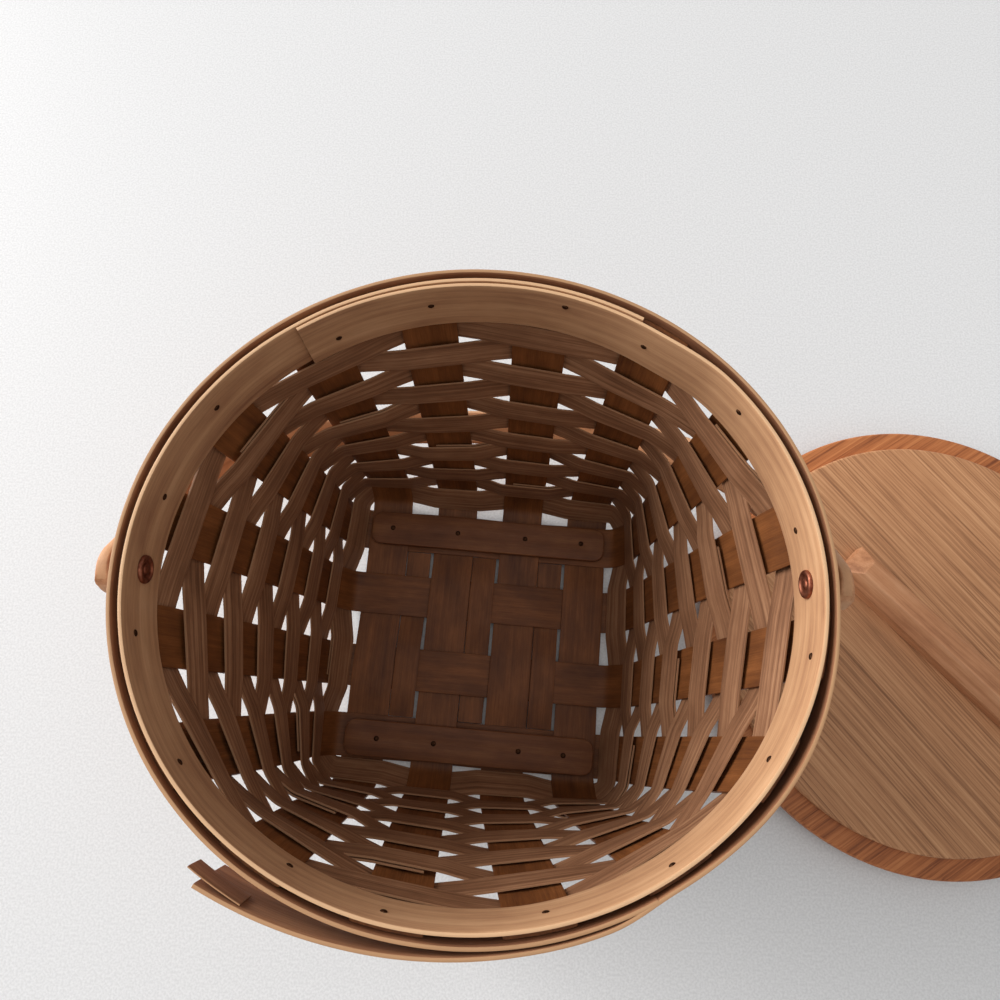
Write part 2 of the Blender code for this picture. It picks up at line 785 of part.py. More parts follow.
def screw_holes(obj, radius, low, high):
    for side in (-1, 1):
        spread = side * SCREW_SPREAD
        place = (spread * math.cos(BAR_TURN), spread * math.sin(BAR_TURN), (low + high) / 2)
        cut(obj, place, (0, 0, 0), radius, high - low)


def lid_disc(name, radius, low, thickness, parent):
    profile = disc_profile(radius, low, thickness, LID_EDGE)
    disc = turned(name, profile, DISC_STEPS, parent, (0, 0, 0), (0, 0, 0), LID_WOOD)
    screw_holes(disc, SCREW_HOLE, low - thickness, low + 2 * thickness)
    return disc


def raised_top(mesh, faces):
    top = max(faces, key=lambda face: face.calc_center_median().z)
    grown = bmesh.ops.extrude_face_region(mesh, geom=[top])
    bmesh.ops.delete(mesh, geom=[top], context="FACES_ONLY")
    return [item for item in grown["geom"] if isinstance(item, bmesh.types.BMVert)]


def bar_handle(parent):
    mesh = bmesh.new()
    bmesh.ops.create_cube(mesh, size=1)
    size = Matrix.Diagonal((BAR_LENGTH, BAR_WIDTH, BAR_SIDE, 1))
    lift = Matrix.Translation((0, 0, BAR_Z + BAR_SIDE / 2))
    bmesh.ops.transform(mesh, matrix=lift @ size, verts=mesh.verts)
    inset = (1 - BAR_TOP_SHARE) * BAR_WIDTH / 2
    for vert in raised_top(mesh, mesh.faces):
        vert.co.x -= math.copysign(1.6 * inset, vert.co.x)
        vert.co.y -= math.copysign(inset, vert.co.y)
        vert.co.z = BAR_Z + BAR_HEIGHT
    bar = mesh_object("lid_bar_handle", mesh, parent, LID_WOOD)
    bar.rotation_euler = (0, 0, BAR_TURN)
    screw_holes(bar, SCREW_HOLE, BAR_Z - BAR_SIDE, SCREW_TOP + CLEARANCE)


def lid_screw(index, side, parent):
    mesh = bmesh.new()
    made = bmesh.ops.create_cone(mesh, cap_ends=True, segments=HOLE_STEPS, radius1=SCREW_HEAD_RADIUS,
                                 radius2=SCREW_RADIUS, depth=SCREW_HEAD_HEIGHT)
    middle = Vector((0, 0, SCREW_SINK - SCREW_HEAD_HEIGHT / 2))
    bmesh.ops.translate(mesh, verts=made["verts"], vec=middle)
    for vert in raised_top(mesh, mesh.faces):
        vert.co.z = SCREW_TOP
    screw = mesh_object("lid_screw_%d" % index, mesh, parent, IRON, 0.5, 1.0)
    spread = side * SCREW_SPREAD
    screw.location = (spread * math.cos(BAR_TURN), spread * math.sin(BAR_TURN), 0)


# Building
def build_basket(origin):
    for index in range(STAKES_PER_SIDE):
        column_stake(index, origin)
        row_stake(index, origin)
    for index in range(STAKES_PER_SIDE - 1):
        filler(index, origin)
    for index in range(WEAVERS):
        weaver(index, origin)
    inner_band(origin)
    outer_band(origin)
    for name, side, shares in (("back", 1, BACK_TACKS), ("front", -1, FRONT_TACKS)):
        slat_tacks(slat("base_slat_" + name, side, SLAT_LEVEL, origin), shares)
        slat("base_runner_" + name, side, 0, origin)
    for name, side in (("right", 1), ("left", -1)):
        rivet("rivet_" + name, side, origin)
        ring("burr_" + name, side, BURR_RADIUS, BURR_X - BURR_THICKNESS, BURR_THICKNESS, origin, COPPER)
        ring("spacer_" + name, side, SPACER_RADIUS, SPACER_X, SPACER_THICKNESS, origin, COPPER)


def build_handle(origin):
    pivot = empty("handle_pivot", (0, 0, PIVOT_Z), origin)
    swing_handle(pivot, lean_angle())


def build_lid():
    lid = empty("lid", (BASKET_X + LID_X, BASKET_Y + LID_Y, 0))
    plug = lid_disc("lid_plug", PLUG_RADIUS, 0, PLUG_THICKNESS, lid)
    screw_holes(plug, SCREW_HEAD_RADIUS + CLEARANCE, -SCREW_SINK, SCREW_SINK + CLEARANCE)
    lid_disc("lid_board", LID_RADIUS, BOARD_Z, BOARD_THICKNESS, lid)
    lid_disc("lid_panel", PANEL_RADIUS, PANEL_Z, PANEL_THICKNESS, lid)
    bar_handle(lid)
    for index, side in ((1, -1), (2, 1)):
        lid_screw(index, side, lid)


clear_scene()
BASKET = new_collection("splint_basket")
CUTTERS = new_collection("cutters", helper=True)
ORIGIN = empty("basket", (BASKET_X, BASKET_Y, 0))
build_basket(ORIGIN)
build_handle(ORIGIN)
build_lid()
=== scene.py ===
# %% [markdown]
# # A splint basket with a swing handle, and its lid
#
# The basket is woven from splints: long thin strips of wood, stained brown. Sixteen uprights,
# called stakes, rise from a woven square base to an oval rim, and twelve weavers go round them.
# The CAD part has a plain solid for every splint. This script sweeps each one again along the same
# rule, but with smooth bends, soft edges and wood grain, and lets it stand in for its solid.

# %% Load the CAD frame and keep its box
import math

import bmesh
import bpy
import numpy as np
from mathutils import Matrix, Vector


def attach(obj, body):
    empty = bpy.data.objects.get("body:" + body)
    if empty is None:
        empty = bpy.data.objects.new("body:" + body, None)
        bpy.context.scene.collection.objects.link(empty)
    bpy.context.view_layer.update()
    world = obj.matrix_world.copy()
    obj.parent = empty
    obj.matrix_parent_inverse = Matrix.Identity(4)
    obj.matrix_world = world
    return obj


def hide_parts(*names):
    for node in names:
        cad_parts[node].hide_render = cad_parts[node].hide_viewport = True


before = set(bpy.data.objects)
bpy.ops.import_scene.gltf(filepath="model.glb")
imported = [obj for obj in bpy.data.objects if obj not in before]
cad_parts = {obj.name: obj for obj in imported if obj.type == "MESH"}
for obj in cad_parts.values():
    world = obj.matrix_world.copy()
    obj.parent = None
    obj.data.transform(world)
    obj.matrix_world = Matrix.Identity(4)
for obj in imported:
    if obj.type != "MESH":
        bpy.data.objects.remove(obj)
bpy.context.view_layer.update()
MM = 0.001

# %% [markdown]
# ## Small helpers
#
# Colours are easiest to compare with a real object as sRGB hex values, but a shader works in
# linear light, so one function converts them. Node trees are written as text here: one function
# adds a node, sets it up and links what flows into it. Sockets go by their names, or by their
# number where a name is shared or says nothing.


# %% Helpers for colours, objects and nodes
def linear(code):
    shares = [int(code[place:place + 2], 16) / 255 for place in (0, 2, 4)]
    return [s / 12.92 if s <= 0.04045 else ((s + 0.055) / 1.055) ** 2.4 for s in shares] + [1.0]


def in_scene(name, data):
    made = bpy.data.objects.new(name, data)
    bpy.context.scene.collection.objects.link(made)
    return made


def add(tree, kind, sockets=None, **settings):
    made = tree.nodes.new(kind)
    for name, value in settings.items():
        setattr(made, name, value)
    for key, value in (sockets or {}).items():
        if isinstance(key, int):
            entry = made.inputs[key]
        else:
            entry = next(socket for socket in made.inputs if socket.name == key and socket.enabled)
        if isinstance(value, bpy.types.Node):
            value = next(socket for socket in value.outputs if socket.enabled)
        if isinstance(value, bpy.types.NodeSocket):
            tree.links.new(value, entry)
        else:
            entry.default_value = value
    return made


print("mid brown 8c6347 in linear light:", [round(value, 3) for value in linear("8c6347")])


# %% Helpers that begin and end a tree
def new_tree(name, sockets):
    tree = bpy.data.node_groups.new(name, "GeometryNodeTree")
    for label, kind in sockets:
        tree.interface.new_socket(label, in_out="INPUT", socket_type="NodeSocket" + kind)
    tree.interface.new_socket("Result", in_out="OUTPUT", socket_type="NodeSocketGeometry")
    return tree, tree.nodes.new("NodeGroupInput").outputs


def new_material(name):
    material = bpy.data.materials.new(name)
    material.use_nodes = True
    material.node_tree.nodes.clear()
    return material, material.node_tree


# Shades every edge smooth that bends less than the sharpest angle, then ends the tree
def finish_tree(tree, shaped, sharpest, material):
    angle = add(tree, "GeometryNodeInputMeshEdgeAngle")
    soft = add(tree, "FunctionNodeCompare", {0: angle, 1: sharpest}, operation="LESS_THAN")
    shaped = add(tree, "GeometryNodeSetShadeSmooth", {"Geometry": shaped})
    shaped = add(tree, "GeometryNodeSetShadeSmooth", {"Geometry": shaped, "Shade Smooth": soft},
                 domain="EDGE")
    shaped = add(tree, "GeometryNodeRealizeInstances", {"Geometry": shaped})
    shaped = add(tree, "GeometryNodeSetMaterial", {"Geometry": shaped, "Material": material})
    add(tree, "NodeGroupOutput", {0: shaped})


# %% [markdown]
# ## Sweeping a splint
#
# A splint is a flat strip that bends along a path. Curve to Mesh could sweep a small rectangle
# along a curve, but it decides for itself how the strip twists. Here each path point carries its
# own frame instead: the vector across the strip and the vector out of its face. The profile only
# says where a point lies, u across the strip and v through it, and Set Position puts it there. A
# superellipse makes the profile: a low power gives flat faces with small soft edges, as scraped
# splint has.


# %% The strip's profile
def strip_profile(tree, given):
    profile = add(tree, "GeometryNodeCurvePrimitiveCircle",
                  {"Resolution": given["Points round"], "Radius": 1.0})
    where = add(tree, "ShaderNodeSeparateXYZ", {0: add(tree, "GeometryNodeInputPosition")})
    for axis, name in (("X", "u"), ("Y", "v")):
        length = add(tree, "ShaderNodeMath", {0: where.outputs[axis]}, operation="ABSOLUTE")
        power = add(tree, "ShaderNodeMath", {0: length, 1: given["Edge power"]}, operation="POWER")
        side = add(tree, "ShaderNodeMath", {0: where.outputs[axis]}, operation="SIGN")
        value = add(tree, "ShaderNodeMath", {0: power, 1: side}, operation="MULTIPLY")
        profile = add(tree, "GeometryNodeStoreNamedAttribute",
                      {"Geometry": profile, "Name": name, "Value": value})
    return profile


# %% [markdown]
# No real splint is quite flat or straight. One slow noise lifts the strip over some 45 mm, and one
# quick noise moves its edges in and out over 9 mm, as the knife followed the wood. A bump map
# alone could show this, but then the edges would still look ruled.

# %% Waves and ragged edges
WAVE_STRETCH = (1 / (45 * MM), 0.35, 7.0)
FRAY_STRETCH = (1 / (9 * MM), 2.0, 3.0)


def strip_drift(tree, given, read, stretch, amount):
    spot = add(tree, "ShaderNodeCombineXYZ", {0: read["run"], 1: read["u"], 2: given["Seed"]})
    spot = add(tree, "ShaderNodeVectorMath", {0: spot, 1: stretch}, operation="MULTIPLY")
    noise = add(tree, "ShaderNodeTexNoise", {"Vector": spot, "Scale": 1.0, "Detail": 1.0})
    middle = add(tree, "ShaderNodeMath", {0: noise, 1: 0.5}, operation="SUBTRACT")
    return add(tree, "ShaderNodeMath", {0: middle, 1: given[amount]}, operation="MULTIPLY")


# %% Where each point of the sweep goes
def strip_height(tree, given, read):
    half = add(tree, "ShaderNodeMath", {0: given["Thickness"], 1: 0.5}, operation="MULTIPLY")
    wave = strip_drift(tree, given, read, WAVE_STRETCH, "Waviness")
    through = add(tree, "ShaderNodeMath", {0: read["v"], 1: half, 2: wave},
                  operation="MULTIPLY_ADD")
    square = add(tree, "ShaderNodeMath", {0: read["u"], 1: read["u"]}, operation="MULTIPLY")
    sag = add(tree, "ShaderNodeMath", {0: square, 1: read["crown"]}, operation="MULTIPLY")
    return add(tree, "ShaderNodeMath", {0: through, 1: sag}, operation="SUBTRACT")


def strip_point(tree, given, read, height):
    fray = strip_drift(tree, given, read, FRAY_STRETCH, "Raggedness")
    wide = add(tree, "ShaderNodeMath", {0: fray, 1: 1.0}, operation="ADD")
    reach = add(tree, "ShaderNodeMath", {0: read["u"], 1: wide}, operation="MULTIPLY")
    sideways = add(tree, "ShaderNodeVectorMath", {0: read["across"], "Scale": reach},
                   operation="SCALE")
    outwards = add(tree, "ShaderNodeVectorMath", {0: read["outward"], "Scale": height},
                   operation="SCALE")
    level = add(tree, "ShaderNodeVectorMath", {0: read["place"], 1: sideways}, operation="ADD")
    return add(tree, "ShaderNodeVectorMath", {0: level, 1: outwards}, operation="ADD")


# Stores where each point lies in the wood, along, across and through, for the grain to follow
def keep_grain(tree, shaped, given, read, height):
    width = add(tree, "ShaderNodeVectorMath", {0: read["across"]}, operation="LENGTH")
    breadth = add(tree, "ShaderNodeMath", {0: width.outputs["Value"], 1: read["u"]},
                  operation="MULTIPLY")
    grain = add(tree, "ShaderNodeCombineXYZ", {0: read["run"], 1: breadth, 2: height})
    shaped = add(tree, "GeometryNodeStoreNamedAttribute",
                 {"Geometry": shaped, "Name": "grain", "Value": grain}, data_type="FLOAT_VECTOR")
    return add(tree, "GeometryNodeStoreNamedAttribute",
               {"Geometry": shaped, "Name": "seed", "Value": given["Seed"]})


# %% The Geometry Nodes tree that sweeps one splint
SPLINT_SHARPEST = 0.9


def make_splint_tree():
    tree, given = new_tree("bent splint", (
        ("Path", "Geometry"), ("Thickness", "Float"), ("Edge power", "Float"),
        ("Points round", "Int"), ("Waviness", "Float"), ("Raggedness", "Float"),
        ("Seed", "Float"), ("Wood", "Material")))
    path = add(tree, "GeometryNodeMeshToCurve", {"Mesh": given["Path"]})
    swept = add(tree, "GeometryNodeCurveToMesh",
                {"Curve": path, "Profile Curve": strip_profile(tree, given), "Fill Caps": True})
    read = {}
    for kind, names in (("FLOAT", ("u", "v", "run", "crown")),
                        ("FLOAT_VECTOR", ("place", "across", "outward"))):
        for name in names:
            read[name] = add(tree, "GeometryNodeInputNamedAttribute", {"Name": name},
                             data_type=kind)
    height = strip_height(tree, given, read)
    point = strip_point(tree, given, read, height)
    shaped = add(tree, "GeometryNodeSetPosition", {"Geometry": swept, "Position": point})
    shaped = keep_grain(tree, shaped, given, read, height)
    finish_tree(tree, shaped, SPLINT_SHARPEST, given["Wood"])
    return tree


SPLINT_TREE = make_splint_tree()
print("the splint tree has", len(SPLINT_TREE.nodes), "nodes")

# %% [markdown]
# ## From a tree to a plain mesh
#
# A modifier could stay live on the finished piece, but the CAD frame moves plain meshes. So the
# modifier is evaluated once, its result is kept as a plain mesh, and the object that carried it
# goes. Each tree input is set by its identifier before that first evaluation.


# %% Grow a mesh and put it in the CAD node's place
def grow(name, mesh, tree, **given):
    source = in_scene(name + "_source", mesh)
    modifier = source.modifiers.new("grow", "NODES")
    modifier.node_group = tree
    for item in tree.interface.items_tree:
        if item.in_out == "INPUT" and item.name in given:
            modifier[item.identifier] = given[item.name]
    graph = bpy.context.evaluated_depsgraph_get()
    made = bpy.data.meshes.new_from_object(source.evaluated_get(graph), depsgraph=graph,
                                           preserve_all_data_layers=True)
    bpy.data.objects.remove(source)
    return in_scene(name, made)


def stand_in(piece, body, *nodes):
    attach(piece, body)
    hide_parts(*nodes)
    print(piece.name, "has", len(piece.data.polygons), "faces and stands in for", *nodes)


# %% [markdown]
# ## Wood
#
# All the wood here is thin hardwood splint or board, scraped, stained brown and left with a satin
# finish. Three things show at arm's length: fine dark pores drawn out along the grain, broad bands
# where the stain took unevenly, and paler edges, which are partly the lighter cut wood and partly
# painted highlight where the edges catch the light. A picture of wood could be wrapped round each
# strip, but noise that is stretched along the strip's own path follows every bend. One function
# makes every wood; the colours, the size of the figure and the direction differ.

# %% Where the grain runs
# The length and width in mm of each layer of noise, and its detail. Real pores are finer than the
# render shows, so they are drawn 0.45 mm wide.
PORES, BANDS, BLOTCHES = (14, 0.45, 4.0), (150, 5, 2.0), (40, 22, 4.0)
SEED_STEP = (3.7, 1.9, 5.3)


# A swept splint carries its own grain attribute; a flat board has its grain at an angle in the plan
def grain_place(tree, angle):
    if angle is None:
        place = add(tree, "ShaderNodeAttribute", attribute_name="grain").outputs["Vector"]
        seed = add(tree, "ShaderNodeAttribute", attribute_name="seed").outputs["Fac"]
        apart = add(tree, "ShaderNodeCombineXYZ", {0: seed, 1: seed, 2: seed})
        return add(tree, "ShaderNodeVectorMath", {0: apart, 1: SEED_STEP, 2: place},
                   operation="MULTIPLY_ADD")
    known = add(tree, "ShaderNodeTexCoord")
    return add(tree, "ShaderNodeMapping",
               {"Vector": known.outputs["Object"], "Rotation": (0, 0, -angle)})


def grain_layers(tree, place, figure):
    layers = []
    for (long, wide, detail), size in ((PORES, 1), (BANDS, figure), (BLOTCHES, 1)):
        wide *= size
        stretched = add(tree, "ShaderNodeVectorMath",
                        {0: place, 1: (1 / (long * MM), 1 / (wide * MM), 1 / (wide * MM))},
                        operation="MULTIPLY")
        layers.append(add(tree, "ShaderNodeTexNoise",
                          {"Vector": stretched, "Scale": 1.0, "Detail": detail, "Roughness": 0.6}))
    return layers


# %% The wood function
PORE_SHARE = 0.25
STAIN_SPREAD = 0.16
EDGE_STARTS, EDGE_ENDS, EDGE_STRENGTH = 0.975, 0.995, 0.7
PORE_ROUGHER, LAND_SMOOTHER = 0.12, 0.10
GRAIN_DEPTH = 0.25 * MM
BAND_RELIEF = 0.4
SATIN_SPECULAR = 0.35


def stain_colour(tree, total, contrast, dark, middle, light):
    spread = STAIN_SPREAD / contrast
    shade = add(tree, "ShaderNodeMapRange",
                {"Value": total, "From Min": 0.5 - spread, "From Max": 0.5 + spread})
    ramp = add(tree, "ShaderNodeValToRGB", {"Fac": shade})
    stops = ramp.color_ramp.elements
    stops[0].color = linear(dark)
    stops[1].color = linear(light)
    stops.new(0.5).color = linear(middle)
    return ramp.outputs["Color"]


# Mixes a paler colour in along the strip's edges: partly the lighter cut wood, partly painted
# highlight
def pale_edges_and_highlight(tree, colour, edge):
    flat = add(tree, "ShaderNodeAttribute", attribute_name="u").outputs["Fac"]
    side = add(tree, "ShaderNodeMath", {0: flat}, operation="ABSOLUTE")
    edge_paleness = add(tree, "ShaderNodeMapRange", {"Value": side, "From Min": EDGE_STARTS,
                                           "From Max": EDGE_ENDS, "To Max": EDGE_STRENGTH})
    mixed = add(tree, "ShaderNodeMix", {0: edge_paleness, 6: colour, 7: linear(edge)}, data_type="RGBA")
    return mixed.outputs[2]


def wood(name, dark, middle, light, roughness=0.55, angle=None, figure=1.0, contrast=1.0, edge=None,
         blotch=0.30):
    material, tree = new_material(name)
    pores, bands, blotches = grain_layers(tree, grain_place(tree, angle), figure)
    total = 0.0
    for layer, share in ((bands, 1 - PORE_SHARE - blotch), (blotches, blotch), (pores, PORE_SHARE)):
        total = add(tree, "ShaderNodeMath", {0: layer, 1: share, 2: total},
                    operation="MULTIPLY_ADD")
    colour = stain_colour(tree, total, contrast, dark, middle, light)
    if edge:
        colour = pale_edges_and_highlight(tree, colour, edge)
    rough = add(tree, "ShaderNodeMapRange", {"Value": pores, "To Min": roughness + PORE_ROUGHER,
                                             "To Max": roughness - LAND_SMOOTHER})
    relief = add(tree, "ShaderNodeMath", {0: bands, 1: BAND_RELIEF, 2: pores},
                 operation="MULTIPLY_ADD")
    bump = add(tree, "ShaderNodeBump", {"Strength": 0.5, "Distance": GRAIN_DEPTH, "Height": relief})
    shader = add(tree, "ShaderNodeBsdfPrincipled",
                 {"Base Color": colour, "Roughness": rough, "Normal": bump,
                  "Specular IOR Level": SATIN_SPECULAR})
    add(tree, "ShaderNodeOutputMaterial", {"Surface": shader})
    return material


# %% The basket's woods
# Stained hardwood splint, cut thick and folded wet: dark and matt, with narrow uneven bands
STAKE_WOOD = wood("stained splint of the stakes", "512b13", "71421f", "8f582e", figure=0.5,
                  blotch=0.5)
# Stained hardwood splint, scraped thin: paler, with close streaks, and light edges that are
# partly the lighter cut wood and partly painted highlight
WEAVER_WOOD = wood("stained splint of the weavers", "67442e", "8c6347", "b08564", figure=0.35,
                   contrast=1.1, edge="a97f5e")
# Stained hardwood strip, steamed and sanded by hand: the palest wood, with long soft bands, and
# pale edges that are partly painted highlight where its rounded top edge catches the light
BAND_WOOD = wood("stained rim band", "96694d", "c0936d", "d8ad85", contrast=0.9, edge="e2ba90")
# The same strip on the outside: browner and darker than the inner band, partly its own colour and
# partly painted shade for the dark inner face of its loose end; with pale edges
OUTER_WOOD = wood("stained outer rim band", "6b4631", "946649", "b58561", edge="c3996f")
# Sawn and stained hardwood slat: dark and even, with its grain along the base's own direction
BASE_TURN = math.radians(3.7)
SLAT_WOOD = wood("stained slat", "5e361d", "774829", "916038", angle=-BASE_TURN, blotch=0.4)
# Steamed hardwood strap, rubbed smooth by hands: warm, with paler edges. Its colour is made
# lighter as painted light, for the top light on its end outside the rim
HANDLE_WOOD = wood("bent handle strap", "93603f", "c08a62", "d8a47b", edge="c99a72")
print("6 woods for the basket and its handle")

# %% [markdown]
# ## The shape of the wall
#
# Such a wall is woven over a wooden block, which is square below and round above. Its points could
# be copied from the CAD mesh, but a rule gives a smooth wall at any height, so the splints here
# follow the CAD part's own rule. The base is nearly a square, turned a little against the rim, and
# the rim is an oval. A place on the wall is a turn, which counts one for each stake, and a height.
# The base moves out to the rim with a power of the height, so the wall is steeper at the foot and
# flares towards the top.

# %% The sizes of the basket
RIM_RADIUS = 152.5 * MM
HEIGHT = 235 * MM
BAND_HEIGHT = 34.9 * MM
BASE_HALF_X = 98 * MM
BASE_HALF_Y = 101 * MM
STAKE_WIDTH = 28.6 * MM
STAKE_THICKNESS = 1.8 * MM
WEAVER_THICKNESS = 1.4 * MM
BAND_THICKNESS = 2.2 * MM
SLAT_THICKNESS = 4.5 * MM
GAP = 0.3 * MM
WEAVERS = 12
SIDE_STAKES = 4
LAST_STEP = SIDE_STAKES - 1
MIDDLE_STEP = LAST_STEP / 2
STAKES = 4 * SIDE_STAKES
print("the rim is", 2 * RIM_RADIUS / MM, "mm across and", HEIGHT / MM, "mm high")

# %% The places that follow from them
RIM_SHARE_Y = 0.93
WALL_POWER = 1.25
BASE_SHIFT = Vector((-0.022 * RIM_RADIUS, -0.061 * RIM_RADIUS, 0))
COLUMN_PITCH = 0.4857 * BASE_HALF_X
ROW_INNER = 0.2525 * BASE_HALF_Y
ROW_OUTER = 0.713 * BASE_HALF_Y
WEAVE_RISE = (STAKE_THICKNESS + GAP) / 2
BASE_LEVEL = SLAT_THICKNESS + GAP + STAKE_THICKNESS / 2 + WEAVE_RISE
FOOT = 0.042 * HEIGHT
FOOT_CURVE = 0.14 * BASE_HALF_X
FRONT_CURVE = 0.22 * BASE_HALF_X
FOOT_CURVE_HEIGHT = 0.136 * HEIGHT
FOLD_START = ROW_OUTER + STAKE_WIDTH / 2 + GAP
BAND_LEVEL = HEIGHT - BAND_HEIGHT
WEAVE_TOP = BAND_LEVEL - 1.5 * WEAVER_THICKNESS
WEAVER_PITCH = (WEAVE_TOP - FOOT) / WEAVERS
STAKE_RADIUS = RIM_RADIUS - BAND_THICKNESS - GAP - STAKE_THICKNESS / 2
STAKE_TOP = HEIGHT - 5 * MM
BASKET_AXIS = Vector((-147.295 * MM, 4.575 * MM, 0))
print("each row of the weave is", round(WEAVER_PITCH / MM, 2), "mm high")


# %% The base's rule
def base_point(across, along, level=0.0):
    cosine, sine = math.cos(BASE_TURN), math.sin(BASE_TURN)
    flat = Vector((cosine * across + sine * along, cosine * along - sine * across, level))
    return BASKET_AXIS + BASE_SHIFT + flat


def foot_sides(height):
    share = max(1 - max(height, FOOT / 2) / FOOT_CURVE_HEIGHT, 0) ** 2
    return (BASE_HALF_X - FOOT_CURVE * share, BASE_HALF_Y - FOOT_CURVE * share,
            BASE_HALF_Y - FRONT_CURVE * share)


def row_y(step):
    rows = (ROW_OUTER, ROW_INNER, -ROW_INNER, -ROW_OUTER)
    return float(np.interp(step, range(SIDE_STAKES), rows))


def column_x(step):
    return (step - MIDDLE_STEP) * COLUMN_PITCH


def foot_of(side, step, height):
    half_x, back, front = foot_sides(height)
    feet = ((half_x, -row_y(step)), (-column_x(step), back), (-half_x, row_y(step)),
            (column_x(step), -front))
    return base_point(*feet[side % SIDE_STAKES])


print("the first stake's foot is at", foot_of(0, 0, FOOT))

# %% The corners' rule
CORNER_EDGE = 0.25


def corner_gap(side, share, height):
    half_x, back, front = foot_sides(height)
    corners = ((half_x, back), (-half_x, back), (-half_x, -front), (half_x, -front))
    corner = base_point(*corners[side % SIDE_STAKES])
    start, end = foot_of(side, LAST_STEP, height), foot_of(side + 1, 0, height)
    start_edge = start + (start - foot_of(side, 0, height)).normalized() * STAKE_WIDTH / 2
    end_edge = end - (foot_of(side + 1, 1, height) - end).normalized() * STAKE_WIDTH / 2
    if share < CORNER_EDGE:
        return start.lerp(start_edge, share / CORNER_EDGE)
    if share > 1 - CORNER_EDGE:
        return end.lerp(end_edge, (1 - share) / CORNER_EDGE)
    along = 2 * share - 2 * CORNER_EDGE
    return start_edge.lerp(corner, along).lerp(corner.lerp(end_edge, along), along)


# %% The wall's rule
NEAR_TURN = 0.13


def rim_at(turn, radius):
    angle = math.tau * (turn - MIDDLE_STEP) / STAKES
    away = Vector((radius * math.cos(angle), RIM_SHARE_Y * radius * math.sin(angle), 0))
    return BASKET_AXIS + away


def spread_at(height):
    return min(max(height, 0) / BAND_LEVEL, 1) ** WALL_POWER


def wall_at(turn, height):
    side, step = int(turn % STAKES // SIDE_STAKES), turn % SIDE_STAKES
    if step <= LAST_STEP:
        foot = foot_of(side, step, height)
    else:
        foot = corner_gap(side, step - LAST_STEP, height)
    point = foot.lerp(rim_at(turn, STAKE_RADIUS), spread_at(height))
    point.z = height
    return point


def along_wall(turn, height):
    return (wall_at(turn + NEAR_TURN, height) - wall_at(turn - NEAR_TURN, height)).normalized()


def outward_at(turn, height):
    up = Vector((0, 0, 1))
    if height < BAND_LEVEL:
        below = max(height - FOOT, 0)
        up = wall_at(turn, below + 2 * FOOT) - wall_at(turn, below)
    return along_wall(turn, height).cross(up).normalized()


# How far a splint's edges sag behind its middle, because it bends round the wall
def crown_at(height):
    return STAKE_WIDTH ** 2 / (8 * STAKE_RADIUS) * spread_at(height)


print("the wall's foot and rim at the first stake:", wall_at(0, FOOT), wall_at(0, BAND_LEVEL))

# %% [markdown]
# ## From rails to a path
#
# A splint is written down as two rails: the points along its one edge and along its other. Between
# crossings those points are sparse, and a strip through them would have hard corners. A spline
# could round them, but it overshoots where points lie close together. Real splint is springy, so
# the rails are laid out evenly and then averaged over a few millimetres. The face's direction
# follows from the path and the rails, so no splint can come out inside out.

# %% Rails to an even, springy path
FEWEST_POINTS = 12


def spring(rails, reach, step=2.5 * MM, crown=None, stretch=1.0):
    rails = np.array(rails, float)
    places = rails.mean(axis=1)
    across = (rails[:, 1] - rails[:, 0]) / 2 * stretch
    crowns = np.zeros(len(rails)) if crown is None else np.array(crown)
    run = np.concatenate([[0], np.cumsum(np.linalg.norm(np.diff(places, axis=0), axis=1))])
    even = np.linspace(0, run[-1], max(int(run[-1] / step), FEWEST_POINTS))
    table = np.column_stack([places, across, crowns])
    table = np.column_stack([np.interp(even, run, column) for column in table.T])
    half = max(int(reach / step), 1)
    weights = np.hanning(2 * half + 3)[1:-1]
    padded = np.pad(table, ((half, half), (0, 0)), mode="reflect", reflect_type="odd")
    table = np.column_stack([np.convolve(c, weights / weights.sum(), "valid") for c in padded.T])
    tangent = np.gradient(table[:, :3], axis=0)
    outward = np.cross(tangent, table[:, 3:6])
    outward /= np.linalg.norm(outward, axis=1)[:, None]
    return {"place": table[:, :3], "across": table[:, 3:6], "outward": outward,
            "crown": table[:, 6], "run": even}


# %% A path to a splint
def splint(name, path, thickness, material, seed, power=0.3, points=24, waviness=0.3 * MM,
           raggedness=0.03):
    mesh = bpy.data.meshes.new(name)
    count = len(path["place"])
    mesh.from_pydata(path["place"].tolist(), [(i, i + 1) for i in range(count - 1)], [])
    for label, values in path.items():
        kind, field = ("FLOAT_VECTOR", "vector") if values.ndim == 2 else ("FLOAT", "value")
        attribute = mesh.attributes.new(label, kind, "POINT")
        attribute.data.foreach_set(field, values.astype(np.float32).ravel())
    return grow(name, mesh, SPLINT_TREE, **{
        "Thickness": thickness, "Edge power": power, "Points round": points, "Waviness": waviness,
        "Raggedness": raggedness, "Seed": float(seed), "Wood": material})


# %% [markdown]
# ## The stakes
#
# Eight long splints cross in the base, over one and under one, and turn up both walls to become
# the sixteen stakes. Wet splint folds round a small radius at the foot. Flat boxes could be bent
# with a modifier, but the rails already say where each edge goes, so the same sweep makes base,
# fold and wall in one piece. Seen from above, the eight strips are four columns, which run front
# to back, and four rows, which run left to right.

# %% The stakes' rails
WALL_STEPS = 48
FOLD_STEPS = 8
STAKE_GIVE = 0.3 * MM


# 1 where a column passes over a row, or a weaver outside a stake, and -1 where it is the other way
def over(row, number):
    return -1 if (row + number) % 2 else 1


